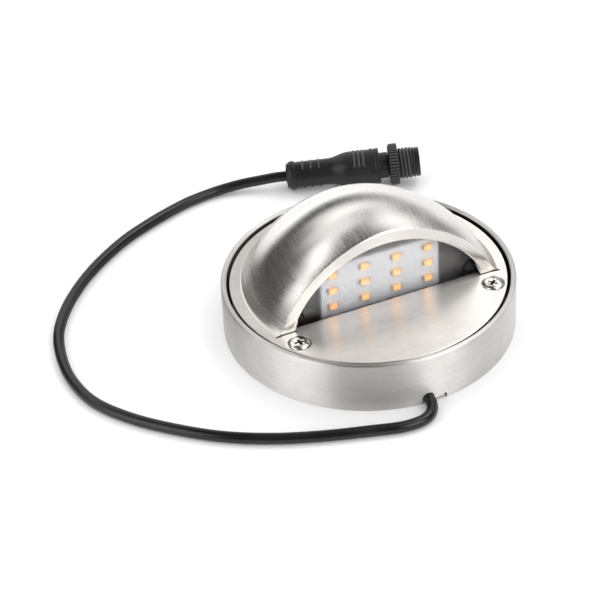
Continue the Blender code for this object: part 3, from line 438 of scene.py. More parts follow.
ferrite = moulded("ferrite", (0.03, 0.03, 0.034), (0.055, 0.055, 0.06), (0.5, 0.7), 1500.0, 0.05)
canSleeve = moulded("capacitor sleeve", (0.02, 0.03, 0.07), (0.04, 0.05, 0.1), (0.3, 0.4))
giltBrass = moulded("gilt brass", (0.58, 0.40, 0.14), (0.70, 0.50, 0.2), (0.2, 0.35), 600.0, Metallic=1.0)
print("finishes made")

# Cord, its tail inside the housing, and the leads

cord = {"radius": 2.1, "x": -2.6, "lift": 2.15, "rise": 5.75, "ringInner": 52.9, "gap": 0.3, "spacing": 1.5}
connector = {"start": (7.98, 94.17, 6.05), "direction": (0.931, -0.360, 0.058)}
connectorAxis = Vector(connector["direction"]).normalized()
connectorTurn = connectorAxis.to_track_quat("Z", "Y").to_matrix().to_4x4()
onConnector = Matrix.Translation(connector["start"]) @ connectorTurn
curveSteps = 24  # between two points of a route


def smoothPath(route, spacing):
    # Centripetal Catmull-Rom curve through the route, then points at even steps along it.
    points = np.array(route, dtype=float)
    points = np.vstack([2 * points[0] - points[1], points, 2 * points[-1] - points[-2]])
    fine = []
    for p0, p1, p2, p3 in zip(points, points[1:], points[2:], points[3:]):
        spans = np.sqrt([np.linalg.norm(p1 - p0), np.linalg.norm(p2 - p1), np.linalg.norm(p3 - p2)])
        k0, k1, k2, k3 = np.concatenate([[0], np.cumsum(spans)])
        t = np.linspace(k1, k2, curveSteps, endpoint=False)[:, None]
        a1 = p0 + (p1 - p0) * (t - k0) / (k1 - k0)
        a2 = p1 + (p2 - p1) * (t - k1) / (k2 - k1)
        a3 = p2 + (p3 - p2) * (t - k2) / (k3 - k2)
        b1 = a1 + (a2 - a1) * (t - k0) / (k2 - k0)
        b2 = a2 + (a3 - a2) * (t - k1) / (k3 - k1)
        fine.append(b1 + (b2 - b1) * (t - k1) / (k2 - k1))
    fine = np.vstack(fine + [points[-2:-1]])
    along = pathLength(fine)
    stations = np.linspace(0, along[-1], max(4, round(along[-1] / spacing)) + 1)
    return np.stack([np.interp(stations, along, fine[:, axis]) for axis in range(3)], axis=1), along[-1]


def addTube(name, route, radius, finish, slot, node, spacing):
    points, length = smoothPath(route, spacing)
    curve = bpy.data.curves.new(name, "CURVE")
    curve.dimensions = "3D"
    curve.bevel_depth = radius * mm
    curve.bevel_resolution = 6
    curve.use_fill_caps = True
    spline = curve.splines.new("POLY")
    spline.points.add(len(points) - 1)
    spline.points.foreach_set("co", np.hstack([points * mm, np.ones((len(points), 1))]).reshape(-1))
    spline.use_smooth = True
    return addPiece(name, curve, finish, slot, [node]), length


def cordRoute():
    # Flat on the table from the notch round to the connector, then up to the connector's axis.
    flat = [(cord["x"], -cord["ringInner"] - cord["gap"] / 2), (cord["x"], -55.6), (-3.2, -58.9),
            (-5.5, -62.6), (-9.2, -64.9), (-16.7, -65.3), (-29.3, -61.9), (-45.6, -56.7), (-61.4, -50.2),
            (-76.2, -41.6), (-89.7, -30.4), (-102.5, -16.6), (-111.2, -2.0), (-114.1, 13.6), (-113.0, 27.8),
            (-109.2, 41.9), (-102.2, 54.4), (-93.6, 65.1), (-84.2, 74.2), (-74.3, 81.9), (-64.0, 88.5),
            (-53.5, 93.5), (-43.0, 97.7), (-32.3, 101.0)]
    rising = [(-21.85, 102.5, 2.2), (-16.9, 102.3, 2.6), (-12.1, 101.5, 3.2), (-7.4, 100.2, 3.9),
              (-2.8, 98.5, 4.6)]
    ends = [tuple(Vector(connector["start"]) - connectorAxis * back)
            for back in (2 * cord["radius"], cord["gap"])]
    return [(x, y, cord["lift"]) for x, y in flat] + rising + ends


def addCord(name, route, node):
    return addTube(name, route, cord["radius"], cordJacket, "cord_jacket", node, cord["spacing"])


def makeCord():
    piece, length = addCord("powerCord", cordRoute(), "power_cord")
    print("cord: {:.1f} mm".format(length))
    x, start, lift, rise = cord["x"], -cord["ringInner"] + cord["gap"] / 2, cord["lift"], cord["rise"]
    tail = [(x, start, lift), (x, start + 2.8, lift), (x, start + 9.05, (lift + rise) / 2),
            (x, start + 15.3, rise), (x, -33.0, rise), (x, -22.0, rise)]
    addCord("cordTail", tail, "cord_tail")
    return piece, length


powerCord, cordLength = makeCord()

# Each lead: colour, x where it starts, x where it ends, finish.
leads = {"radius": 0.6, "spacing": 0.6,
         "supply": (("Red", -3.55, -11.9, redLead), ("Black", -1.65, -8.1, blackLead)),
         "led": (("White", 1.35, 1.35, whiteLead), ("Black", 3.25, 3.25, blackLead))}


def supplyRoute(x, end):
    # From the cord's inner end to a terminal.
    return [(x, -21.7, 5.75), (x, -18.7, 5.75), (x, -7.9, 7.5), ((x + end) / 2, 2.8, 9.75), (end, 9.0, 12.0),
            (end, 12.0, 12.0)]


def ledRoute(x, end):
    # From the driver board to the LED board's lower edge.
    return [(x, 15.0, 8.9), (x, 14.4, 11.9), (x, 9.0, 11.9), (end, -6.4, 8.1), (end, -10.7, 10.5),
            (end, -10.7, 13.4), (end, -10.3, 14.8)]


def makeLeads():
    for kind, makeRoute in (("supply", supplyRoute), ("led", ledRoute)):
        for colour, x, end, finish in leads[kind]:
            slot = "lead_" + colour.lower()
            addTube(kind + "Lead" + colour, makeRoute(x, end), leads["radius"], finish, slot,
                    kind + "_" + slot, leads["spacing"])


makeLeads()

# Housing ring

ring = {"radius": 55.0, "inner": 52.9, "height": 20.3, "lip": 0.75, "flangeInner": 47.9, "flangeThick": 1.5,
        "flangeRound": 0.4, "footRound": 0.25, "footEdge": 0.4, "seam": 10.0, "steps": 288}
notch = {"slotX": -2.6, "slotZ": 2.15, "slotRadius": 2.4, "right": 4.7, "low": 1.4, "relief": 0.4,
         "below": -2.0, "front": -57.0, "reach": 11.0}


def makeHousingRing():
    # The ring's section turned about Z, with the notch cut out of its foot. Its inner wall is marked for
    # painted shade.
    foot = ring["footRound"]
    profile = roundCorners([(ring["inner"], ring["seam"], 0),
                            (ring["inner"], ring["flangeThick"], ring["flangeRound"]),
                            (ring["flangeInner"], ring["flangeThick"], foot), (ring["flangeInner"], 0, foot),
                            (ring["radius"], 0, ring["footEdge"]),
                            (ring["radius"], ring["height"], ring["lip"]),
                            (ring["inner"], ring["height"], ring["lip"]), (ring["inner"], ring["seam"], 0)])
    points, grain = turnProfile(profile, ring["steps"], Matrix.Rotation(math.pi / 2, 4, "Z"))
    # Marks the inner wall, where the finish paints shade.
    inside = (profile[:, 0] < ring["inner"] + 0.01) & (profile[:, 1] > ring["flangeThick"])
    grain[inside, :, 1] += mark
    mesh = makeMesh("housingRing", *joinGrids([(points, grain)]))
    mesh = carve(mesh, [makeNotchTool()])
    addPiece("housingRing", mesh, ringSteel, "steel", ["housing_ring"])


def arc(x, z, radius, start, end):
    # x = middle x + radius cos a, z = middle z + radius sin a, from start to end in degrees.
    turn = np.radians(np.linspace(start, end, 25))
    return stack(x + radius * np.cos(turn), z + radius * np.sin(turn))


def makeNotchTool():
    # Outline in x and z carried along y: a round-topped slot, a low slot and a small round relief.
    n = notch
    left, right = n["slotX"] - n["slotRadius"], n["slotX"] + n["slotRadius"]
    outline = np.concatenate([
        [(left, n["below"])], arc(n["slotX"], n["slotZ"], n["slotRadius"], 180, 0), [(right, n["low"])],
        arc(n["right"] - n["relief"], n["low"] + n["relief"], n["relief"], 225, -45),
        [(n["right"], n["low"]), (n["right"], n["below"])]])
    shape = bmesh.new()
    near = [shape.verts.new((x * mm, n["front"] * mm, z * mm)) for x, z in outline]
    face = shape.faces.new(near)
    swept = bmesh.ops.extrude_face_region(shape, geom=[face])["geom"]
    moved = [part for part in swept if isinstance(part, bmesh.types.BMVert)]
    bmesh.ops.translate(shape, vec=(0, n["reach"] * mm, 0), verts=moved)
    bmesh.ops.recalc_face_normals(shape, faces=shape.faces)
    mesh = bpy.data.meshes.new("notchTool")
    shape.to_mesh(mesh)
    shape.free()
    return mesh


makeHousingRing()
print("housing ring made")

# Hood cover: one pressed sheet

cover = {"top": 19.4, "sheet": 1.2, "radius": 51.8, "rimRound": 0.35, "centreY": -1.16, "halfWidth": 45.8,
         "halfDepth": 48.6, "rise": 32.0, "power": 0.72, "flareHeight": 3.6, "frontY": -18.0, "lean": 0.074,
         "archHalf": 37.96, "archRise": 25.23, "archPower": 1.36, "fold": 0.7, "edge": 0.25,
         "feetHeight": 4.0, "slitWidth": 0.4, "slitWedge": 0.35, "wedgeStart": 41.5, "wedgeEnd": 44.5,
         "slitEnd": 45.56, "slitStart": 37.3, "slitSlope": 0.04, "slitMargin": 1.2, "tongueY": -16.1,
         "tongueRound": 0.2, "tongueMargin": 1.5, "innerBlend": 14, "nudge": 0.1, "grainRadius": 38.0,
         "grainDrop": 14.0, "bandGrain": 90.0, "domeRows": 44, "flareRows": 9, "footColumns": 200,
         "bandColumns": 161, "repeats": 80}
pocket = {"x": 39.2, "y": -24.95, "radius": 4.3, "depth": 1.3, "lip": 0.2, "lipTurn": 70, "lipRise": 1.0,
          "floorRound": 0.2, "wall": 0.9, "wallRound": 0.3, "wallDrop": 0.6, "bore": 2.25}

flareShare = math.sqrt(1 - (cover["flareHeight"] / cover["rise"]) ** (1 / cover["power"]))
flareSlope = (2 * cover["power"] * cover["rise"] * flareShare
              * (1 - flareShare ** 2) ** (cover["power"] - 1))
flareSpread = 2 * cover["flareHeight"] / flareSlope
footShare = flareShare + flareSpread


def domeShare(x, y):
    # sqrt((x / halfWidth)^2 + (y / halfDepth)^2) from the dome's middle: 1 on its outline.
    return np.hypot(x / cover["halfWidth"], (y - cover["centreY"]) / cover["halfDepth"])


def domeHeight(share):
    # rise (1 - share^2)^power; below the flare's height a parabola that ends flat on the plate.
    bare = cover["rise"] * np.clip(1 - share ** 2, 0, None) ** cover["power"]
    t = np.clip((share - flareShare) / flareSpread, 0, 1)
    return np.where(share < flareShare, bare, cover["flareHeight"] * (1 - t) ** 2)


def domePoints(x, y):
    # z = plate + the dome's height at x and y.
    return stack(x, y, cover["top"] + domeHeight(domeShare(x, y)))


def domeNormals(x, y):
    # (-dz/dx, -dz/dy, 1) at unit length.
    share = np.maximum(domeShare(x, y), 1e-9)
    inside = np.clip(1 - share ** 2, 1e-9, None)
    bare = -2 * cover["rise"] * cover["power"] * share * inside ** (cover["power"] - 1)
    t = np.clip((share - flareShare) / flareSpread, 0, 1)
    slope = np.where(share < flareShare, bare, -2 * cover["flareHeight"] * (1 - t) / flareSpread)
    return unit(stack(-slope * x / (cover["halfWidth"] ** 2 * share),
                      -slope * (y - cover["centreY"]) / (cover["halfDepth"] ** 2 * share), 1.0))


def domeGrain(points):
    # Brush lines run from front to back: u is the angle about the Y axis, v is y.
    turn = np.arctan2(points[..., 0], points[..., 2] - cover["top"] + cover["grainDrop"])
    return stack(turn * cover["grainRadius"], points[..., 1])


def plateGrain(points):
    # Brush lines run along X.
    return points[..., [1, 0]]


def domeRows():
    # Shares of the way from the crown to the flare's foot, close together where the surface bends.
    way = np.linspace(0, np.pi / 2, cover["domeRows"] + 1)
    flare = np.linspace(flareShare, footShare, cover["flareRows"] + 1)[1:]
    return np.concatenate([flareShare * np.sin(way), flare])


def rimAngles(radius, share):
    # share runs from 0, on the line y = frontY at the right, to 1 on it at the left, round the back.
    start = np.arcsin(cover["frontY"] / radius)
    return start + (np.pi - 2 * start) * share


def rimRows():
    # Quarter circle from the plate's flat face down to its side.
    turn = np.linspace(0, np.pi / 2, 6)[1:]
    radius = cover["radius"] - cover["rimRound"] * (1 - np.sin(turn))
    height = cover["top"] - cover["rimRound"] * (1 - np.cos(turn))
    return radius[:, None], height[:, None]


flatRadius = cover["radius"] - cover["rimRound"]
cornerX = cover["halfWidth"] * footShare * math.sqrt(
    1 - ((cover["frontY"] - cover["centreY"]) / (cover["halfDepth"] * footShare)) ** 2)
rimCornerX = math.sqrt(flatRadius ** 2 - cover["frontY"] ** 2)
plateShares = np.array([(cover["slitEnd"] - cornerX) / (rimCornerX - cornerX), 0.3, 0.5, 0.7, 0.85, 1.0])


def backGrids():
    # Dome behind the front sector, its flare, the plate round it and the rounded rim.
    c = cover
    start = math.asin((c["frontY"] - c["centreY"]) / (c["halfDepth"] * footShare))
    share = np.linspace(0, 1, c["footColumns"] + 1)
    angle = start + (np.pi - 2 * start) * share
    rows = domeRows()[:, None]
    x, y = c["halfWidth"] * rows * np.cos(angle), c["centreY"] + c["halfDepth"] * rows * np.sin(angle)
    dome = domePoints(x, y)
    domeInner = dome - c["sheet"] * domeNormals(x, y)
    foot = dome[-1]
    far = turnRound(flatRadius, rimAngles(flatRadius, share), c["top"])
    plate = foot + plateShares[:, None, None] * (far - foot)
    radius, height = rimRows()
    edge = turnRound(radius, rimAngles(radius, share), height)
    outer = np.concatenate([plate, edge])
    down = np.array([0, 0, c["sheet"]])
    edgeInner = edge * (1, 1, 0) + (0, 0, c["top"] - c["sheet"])
    flat = np.concatenate([foot[None], outer])
    flatInner = np.concatenate([(foot - down)[None], plate - down, edgeInner])
    return [(dome, domeGrain(dome)), (flat, plateGrain(flat))], [domeInner, flatInner]


def frontEdge(x):
    # Where the dome meets the leaning front plane: y = frontY + lean * height, solved by repetition.
    height = np.zeros_like(x)
    for _ in range(cover["repeats"]):
        height = domeHeight(domeShare(x, cover["frontY"] + cover["lean"] * height))
    return cover["frontY"] + cover["lean"] * height, height


def bandGrids():
    # Dome's front sector, the fold, the band and its rounded edge at the arch, by columns from the
    # crown's centre to the edge and on to the arch.
    c = cover
    a = np.linspace(np.pi, 0, c["bandColumns"])
    x = cornerX * np.cos(a)
    y, height = frontEdge(x)
    edge = stack(x, y, c["top"] + height)
    sine = np.abs(np.sin(a)) ** c["archPower"]
    sine[[0, -1]] = 0
    arch = stack(c["archHalf"] * np.cos(a), c["frontY"] + c["lean"] * c["archRise"] * sine,
                 c["top"] + c["archRise"] * sine)
    above = smoothStep(height, 0.0, c["feetHeight"])[:, None]
    fold = c["fold"] * above
    inward = unit(arch - edge)
    step = 0.01
    reach = x, y - c["centreY"]
    dome1 = domePoints(x, y)
    dome0 = domePoints(x * (1 - step), c["centreY"] + reach[1] * (1 - step))
    run = (dome1 - dome0) / step
    outward, runLength = unit(run), np.linalg.norm(run, axis=-1, keepdims=True)
    normalDome = domeNormals(x, y)
    normalBand = unit(np.array([0, -1.0, c["lean"]]))
    cosine = (normalDome * normalBand).sum(-1, keepdims=True)
    up = np.array([0, 0, 1.0])
    rows = (domeRows() / footShare)[:, None]

    def sector(scale):
        share = rows * scale.T
        return share * reach[0], c["centreY"] + share * reach[1]

    outerDome = domePoints(*sector(1 - fold / runLength))
    t = np.linspace(0, 1, 8)[1:, None, None]
    start, end = outerDome[-1], edge + fold * inward
    foldRows = bend(start, edge, end, t)
    stop = arch - c["edge"] * inward
    s = np.linspace(0, 1, 7)[1:, None, None]
    bandRows = end + s * (stop - end)
    turn = np.linspace(0, np.pi / 2, 5)[1:, None, None]
    lipRows = stop + c["edge"] * (np.sin(turn) * inward - (1 - np.cos(turn)) * normalBand)

    nudge = c["nudge"] * above
    corner = above * (normalDome + normalBand) / (1 + cosine) + (1 - above) * up
    miter = edge - c["sheet"] * corner
    half = np.sqrt((1 - cosine) / (1 + cosine))
    short = 1 - (c["sheet"] * half * above + nudge) / runLength
    xi, yi = sector(short)
    innerDome = domePoints(xi, yi) - c["sheet"] * domeNormals(xi, yi)
    innerEnd = miter - nudge * outward
    innerDome = innerDome + rows[..., None] ** c["innerBlend"] * (innerEnd - innerDome[-1])
    innerNext = miter + nudge * inward
    innerFold = bend(innerEnd, miter, innerNext, t)
    thick = c["sheet"] * (above * normalBand + (1 - above) * up)
    innerBand = innerNext + s * (stop - thick - innerNext)
    innerLip = stop - thick + c["edge"] * np.sin(turn) * inward
    outer = np.concatenate([outerDome[-1:], foldRows, bandRows, lipRows])
    inner = np.concatenate([innerDome[-1:], innerFold, innerBand, innerLip])
    grain = stack(pathLength(outer) + c["bandGrain"], pathLength(edge))
    return [(outerDome, domeGrain(outerDome)), (outer, grain)], [innerDome, inner]


def frontGrids():
    # Plate in front of the hood: columns by x from the tongue, slit or corner down to the rim.
    c = cover
    slope, margin, start, end = c["slitSlope"], c["slitMargin"], c["slitStart"], c["slitEnd"]
    right = np.unique(np.concatenate([cornerX + plateShares * (rimCornerX - cornerX), [end - slope],
                                      np.linspace(start + margin, end - margin, 6),
                                      [start, start - slope]]))
    middle = np.linspace(c["tongueMargin"] - start, start - c["tongueMargin"], 41)
    x = np.concatenate([-right[::-1], middle, right])
    far = np.abs(x)
    onTongue = far < start - slope / 2
    onSlit = ~onTongue & (far < end - slope / 2)
    wedge = c["frontY"] - c["slitWidth"] - c["slitWedge"] * smoothStep(far, c["wedgeStart"], c["wedgeEnd"])
    top = np.where(onTongue, c["tongueY"], np.where(onSlit, wedge, c["frontY"]))
    base = c["frontY"] - np.clip((rimCornerX - far) / (rimCornerX - end), 0, 1)
    rounding = np.where(onTongue, c["tongueRound"], 0)
    low = -np.sqrt(np.maximum(flatRadius ** 2 - x ** 2, 0))
    turn = np.linspace(0, np.pi / 2, 4)[:, None]
    lipY = top - rounding * (1 - np.cos(turn))
    lipZ = c["top"] - rounding * (1 - np.sin(turn))
    t = np.linspace(0, 1, 9)[:, None]
    flatY = base + t * (low - base)
    y = np.concatenate([lipY, flatY])
    z = np.concatenate([lipZ, np.full_like(flatY, c["top"])])
    flat = stack(x, y, z)
    radius, height = rimRows()
    first, others = (np.pi / 2 + np.arcsin(c["frontY"] / size) for size in (flatRadius, radius))
    angle = np.arctan2(low, x) + np.pi / 2
    turned = -np.pi / 2 + angle * (others / first)
    outer = np.concatenate([flat, turnRound(radius, turned, height)])
    inner = outer * (1, 1, 0) + (0, 0, c["top"] - c["sheet"])
    return [(outer, plateGrain(outer))], [inner]


def makeHoodCover():
    # The sheet from its grids, with a turned boss joined on and a pocket and bore cut for each screw.
    pairs = [backGrids(), bandGrids(), frontGrids()]
    outer = [grid for pair in pairs for grid in pair[0]]
    inner = [grid for pair in pairs for grid in pair[1]]
    mesh = makeMesh("hoodCover", *joinGrids(outer, inner))
    p, top = pocket, cover["top"]
    floor = top - p["depth"]
    under = floor - cover["sheet"]
    wall = p["radius"] + p["wall"]
    brim = top - p["wallDrop"]
    lip = np.radians(np.linspace(0, p["lipTurn"], 6))
    curve = stack(p["radius"] + p["lip"] * (1 - np.cos(lip)), top - p["lip"] * (1 - np.sin(lip)))
    far, high = curve[-1] + p["lipRise"] * np.array([math.sin(lip[-1]), math.cos(lip[-1])])
    boss = roundCorners([(0, under, 0), (wall, under, p["wallRound"]), (wall, brim, 0), (0, brim, 0)])
    cut = np.concatenate([[(0, floor), (p["radius"] - p["floorRound"], floor),
                           (p["radius"], floor + p["floorRound"])], curve,
                          [(far, high), (far, high + 1), (0, high + 1)]])
    bore = [(0, under - 1), (p["bore"], under - 1), (p["bore"], floor + 1), (0, floor + 1)]
    bosses, cuts = [], []
    for side in (-1, 1):
        place = Matrix.Translation((side * p["x"], p["y"], 0))
        bosses.append(turnedMesh("boss", boss, 72, place))
        cuts.append(turnedMesh("pocket", cut, 96, place))
        cuts.append(turnedMesh("bore", bore, 48, place))
    mesh = carve(carve(mesh, bosses, "UNION"), cuts)
    piece = addPiece("hoodCover", mesh, coverSteel, "steel", ["hood_cover"])
    keep = piece.modifiers.new("flat faces first", "WEIGHTED_NORMAL")
    keep.keep_sharp = True


makeHoodCover()
print("hood cover made")

# Screws with a cross recess

coverScrew = {"radius": 3.85, "height": 1.6, "shank": 1.95, "length": 10.0, "seat": 18.4, "turn": 0.35,
              "turnAside": 0.3}
lensScrew = {"radius": 3.2, "height": 1.3, "shank": 1.3, "length": 8.6, "x": 35.46, "y": -13.2, "z": 21.0,
             "turn": 0.5, "turnAside": 0.2}
# Shares of the head's radius, of its height and of the shank.
screwForm = {"flat": 0.40, "reach": 0.48, "half": 0.115, "soft": 0.035, "side": 0.45, "depth": 0.8,
             "dish": 0.45, "pointStart": 0.94, "point": 0.7}


def screwGrid(size, turn, matrix):
    # Pan head: the crown falls off from the flat middle as a quarter ellipse. The cross recess is
    # two crossed bars whose walls fall over a short softened step, deepest at the middle.
    f, head, height = screwForm, size["radius"], size["height"]
    flat, side = f["flat"] * head, f["side"] * height
    step = np.linspace(0, np.pi / 2, 10)[1:]
    radius = np.concatenate([np.linspace(0, flat, 14), flat + (head - flat) * np.sin(step)])
    crown = np.concatenate([np.full(14, height), side + (height - side) * np.cos(step)])
    r, a = np.meshgrid(radius, fullTurn(128), indexing="ij")
    x, y = r * np.cos(a), r * np.sin(a)
    u, v = x * math.cos(turn) + y * math.sin(turn), y * math.cos(turn) - x * math.sin(turn)
    reach, half, soft = f["reach"] * head, f["half"] * head, f["soft"] * head

    def bar(p, q):
        return smoothStep(reach - np.abs(p), -soft, soft) * smoothStep(half - np.abs(q), -soft, soft)

    cross = np.maximum(bar(u, v), bar(v, u))
    sunk = f["depth"] * height * cross * (1 - f["dish"] * np.hypot(u, v) / reach)
    z = crown[:, None] - np.maximum(sunk, 0)
    top = stack(x, y, z)
    shank, length = size["shank"], size["length"]
    rest = roundCorners([(head, side, 0), (head, 0, 0.12), (shank, 0, 0.1),
                         (shank, -length * f["pointStart"], 0.1), (shank * f["point"], -length, 0),
                         (0, -length, 0)])
    lower, lowerGrain = turnProfile(rest, 128)
    # The cross recess is marked in the grain map: the steel finish paints shade there, and the black plastic
    # finish paints it lighter, as a painted highlight.
    grain = stack(r, a * head + mark * cross)
    return [(movePoints(top, matrix), grain), (movePoints(lower, matrix), lowerGrain)]


def makeScrews():
    outwards = Matrix.Rotation(math.pi / 2, 4, "X")
    for side, hand in ((-1, "Left"), (1, "Right")):
        seat = Matrix.Translation((side * pocket["x"], pocket["y"], coverScrew["seat"]))
        hole = Matrix.Translation((side * lensScrew["x"], lensScrew["y"], lensScrew["z"])) @ outwards
        for name, size, place, finish, slot, node in (
                ("coverScrew", coverScrew, seat, screwSteel, "screw_steel", "cover_screw_"),
                ("lensScrew", lensScrew, hole, blackPlastic, "black_plastic", "lens_screw_")):
            turn = size["turn"] + side * size["turnAside"]
            mesh = makeMesh(name + hand, *joinGrids(screwGrid(size, turn, place)))
            addPiece(name + hand, mesh, finish, slot, [node + hand.lower()])


makeScrews()
print("screws made")

# Connector: moulded body, coupling screw with knurl and thread, and its seal

body = {"steps": 120, "start": 0.25, "grip": 5.35, "gripEnd": 16.9, "taperEnd": 25.9, "shell": 7.1,
        "shellEnd": 38.0, "shellStop": 0.4, "lip": 0.16, "lipWidth": 1.9, "neck": 5.25, "neckEnd": 41.4,
        "bore": 4.6, "boreEnd": 34.2, "entry": 3.0, "entryLow": -0.28}
collar = {"heights": (0.25, 1.5, 1.9, 3.1, 3.4, 3.6), "proud": (-0.45, 0.4, 0.52, 0.52, 0.4, 0.0)}
marks = {"centres": (6.8, 10.1, 13.4), "width": 0.9, "proud": 0.38, "middle": 82, "spread": 42}
ribs = {"centres": (27.9, 29.7, 31.5), "width": 1.0, "proud": 0.36, "middle": 90, "spread": 52}
key = {"centres": (34.9,), "width": 1.2, "proud": 0.4, "middle": 55, "spread": 14}
coupling = {"steps": 320, "back": 41.7, "flange": 3.9, "flangeEnd": 45.6, "knurl": 8.4, "toothDepth": 0.42,
            "teeth": 40, "toothSoft": (-0.55, 0.35), "bevel": 0.9, "bevelDepth": 0.95, "frontStart": 3.45,
            "frontRound": 0.45, "frontDepth": 0.4, "root": 5.85, "crest": 6.34, "pitch": 1.45,
            "ridgeSoft": (0.12, 0.72), "fadeIn": 0.9, "fadeOut": 0.6, "threadEnd": 51.4, "groove": 5.15,
            "grooveEnd": 52.6, "rim": 5.9, "front": 54.3, "bore": 4.6, "snap": 5.3, "snapLow": 43.4,
            "snapHigh": 45.0}
seal = {"low": 51.65, "high": 52.35, "inner": 5.3, "outer": 6.15}


def wrapRound(radius, height, matrix, crest=0.0):
    # Surface round the axis, with a radius that may change with both the angle and the height.
    angle = fullTurn(radius.shape[1] - 1)
    points = turnRound(radius, angle, height)
    # The crest share marks where the finish paints a highlight.
    return movePoints(points, matrix), stack(height, radius.max() * angle + mark * crest)


def bumps(angle, height, size):
    # Rounded ridges across the axis, as high as 1 - (distance / half width)^2, that fade out round the
    # body a set angle away from the middle and stand again on the opposite side.
    away = np.abs((np.degrees(angle) - size["middle"] + 90) % 180 - 90)
    window = smoothStep(size["spread"] - away, -6, 6)
    half = size["width"] / 2
    ridge = sum(np.clip(1 - ((height - centre) / half) ** 2, 0, 1) for centre in size["centres"])
    return size["proud"] * ridge * window


def makeConnectorBody():
    # radius = grip, then a half cosine wave up to shell, plus collar, lip and raised marks by height.
    b = body
    angle = fullTurn(b["steps"])
    stop = b["shellEnd"] - b["shellStop"]
    height = np.concatenate([np.linspace(b["start"], b["gripEnd"], 110),
                             np.linspace(b["gripEnd"], b["taperEnd"], 30)[1:],
                             np.linspace(b["taperEnd"], stop, 90)[1:]])[:, None]
    turn = np.clip((height - b["gripEnd"]) / (b["taperEnd"] - b["gripEnd"]), 0, 1)
    base = b["grip"] + (b["shell"] - b["grip"]) * (1 - np.cos(np.pi * turn)) / 2
    swell = np.interp(height, collar["heights"], collar["proud"])
    lipStart = b["shellEnd"] - b["lipWidth"]
    lip = b["lip"] * smoothStep(height, lipStart, lipStart + 0.4)
    raised = sum(bumps(angle, height, size) for size in (marks, ribs, key))
    radius = base + swell + lip + raised
    entry = roundCorners([(0, b["entryLow"], 0), (b["entry"] - 0.3, b["entryLow"], 0.1),
                          (b["entry"], 0, 0.08), (radius[0, 0] - b["start"], 0, 0),
                          (radius[0, 0], b["start"], 0)])
    shell = b["shell"] + b["lip"]
    end = roundCorners([(shell, stop, 0), (shell, b["shellEnd"], 0.3), (b["neck"], b["shellEnd"], 0.2),
                        (b["neck"], b["neckEnd"], 0.2), (b["bore"], b["neckEnd"], 0.1),
                        (b["bore"], b["boreEnd"], 0.1), (0, b["boreEnd"], 0)])
    # The raised marks, ribs and key are marked for a painted highlight.
    grids = [turnProfile(entry, b["steps"], onConnector),
             wrapRound(radius, height, onConnector, raised / key["proud"]),
             turnProfile(end, b["steps"], onConnector)]
    mesh = makeMesh("connectorBody", *joinGrids(grids))
    addPiece("connectorBody", mesh, blackPlastic, "black_plastic", ["connector_body"])


def makeCoupling():
    # Flange with teeth along the axis, then a helical ridge whose radius follows a softened triangle of
    # height / pitch - angle / (2 pi), and lathed ends. It turns on the connector's axis.
    c = coupling
    angle = fullTurn(c["steps"])
    start, front = c["frontStart"], c["frontRound"]
    across = np.concatenate([np.linspace(0, c["bevel"], 8), np.linspace(c["bevel"], start, 6)[1:],
                             np.linspace(start, c["flange"], 6)[1:]])[:, None]
    wave = smoothStep(np.cos(c["teeth"] * angle), *c["toothSoft"])
    bevel = c["bevelDepth"] * (1 - np.sin(np.pi / 2 * np.clip(across / c["bevel"], 0, 1)))
    beyond = np.clip(across - start, 0, None) / front
    bevel += c["frontDepth"] * (1 - np.sqrt(np.clip(1 - beyond ** 2, 0, 1)))
    cut = smoothStep(across, c["bevel"] * 0.3, c["bevel"])
    flange = c["knurl"] - bevel - c["toothDepth"] * cut * (1 - wave)
    height = np.linspace(c["flangeEnd"], c["threadEnd"], 92)[:, None]
    phase = ((height - c["flangeEnd"]) / c["pitch"] - angle / (2 * np.pi)) % 1
    ridge = smoothStep(1 - np.abs(2 * phase - 1), *c["ridgeSoft"])
    ridge = ridge * smoothStep(height, c["flangeEnd"], c["flangeEnd"] + c["fadeIn"])
    ridge = ridge * smoothStep(c["threadEnd"] - height, 0.0, c["fadeOut"])
    thread = c["root"] + (c["crest"] - c["root"]) * ridge
    back = roundCorners([(c["bore"], c["back"], 0), (flange[0, 0], c["back"], 0)])
    # The teeth's own outline closes the flange's front, from the toothed row in to the thread's root.
    face = np.stack([flange[-1], np.full_like(angle, c["root"])])
    end = roundCorners([(c["root"], c["threadEnd"], 0), (c["groove"], c["threadEnd"], 0.1),
                        (c["groove"], c["grooveEnd"], 0.1), (c["rim"], c["grooveEnd"], 0.12),
                        (c["rim"], c["front"], 0.3), (c["bore"], c["front"], 0.25),
                        (c["bore"], c["snapHigh"], 0.1), (c["snap"], c["snapHigh"], 0.1),
                        (c["snap"], c["snapLow"], 0.1), (c["bore"], c["snapLow"], 0.1),
                        (c["bore"], c["back"], 0)])
    # The teeth and the thread's ridge are marked for a painted highlight.
    grids = [turnProfile(back, c["steps"], onConnector),
             wrapRound(flange, c["back"] + across, onConnector, cut * wave),
             wrapRound(face, np.full((2, 1), c["flangeEnd"]), onConnector),
             wrapRound(thread, height, onConnector, ridge), turnProfile(end, c["steps"], onConnector)]
    mesh = makeMesh("couplingScrew", *joinGrids(grids), 28)
    addPiece("couplingScrew", mesh, blackPlastic, "black_plastic", ["coupling_screw"], "coupling")


def makeSeal():
    # Ring of round section: radius and height follow a circle flattened to the groove.
    turn = fullTurn(24)
    middle, half = (seal["inner"] + seal["outer"]) / 2, (seal["outer"] - seal["inner"]) / 2
    rise, centre = (seal["high"] - seal["low"]) / 2, (seal["high"] + seal["low"]) / 2
    profile = stack(middle + half * np.cos(turn), centre + rise * np.sin(turn))
    mesh = turnedMesh("couplingSeal", profile, 96, onConnector, 60)
    addPiece("couplingSeal", mesh, blackRubber, "rubber", ["coupling_seal"], "coupling")


makeConnectorBody()
makeCoupling()
makeSeal()
print("connector made")

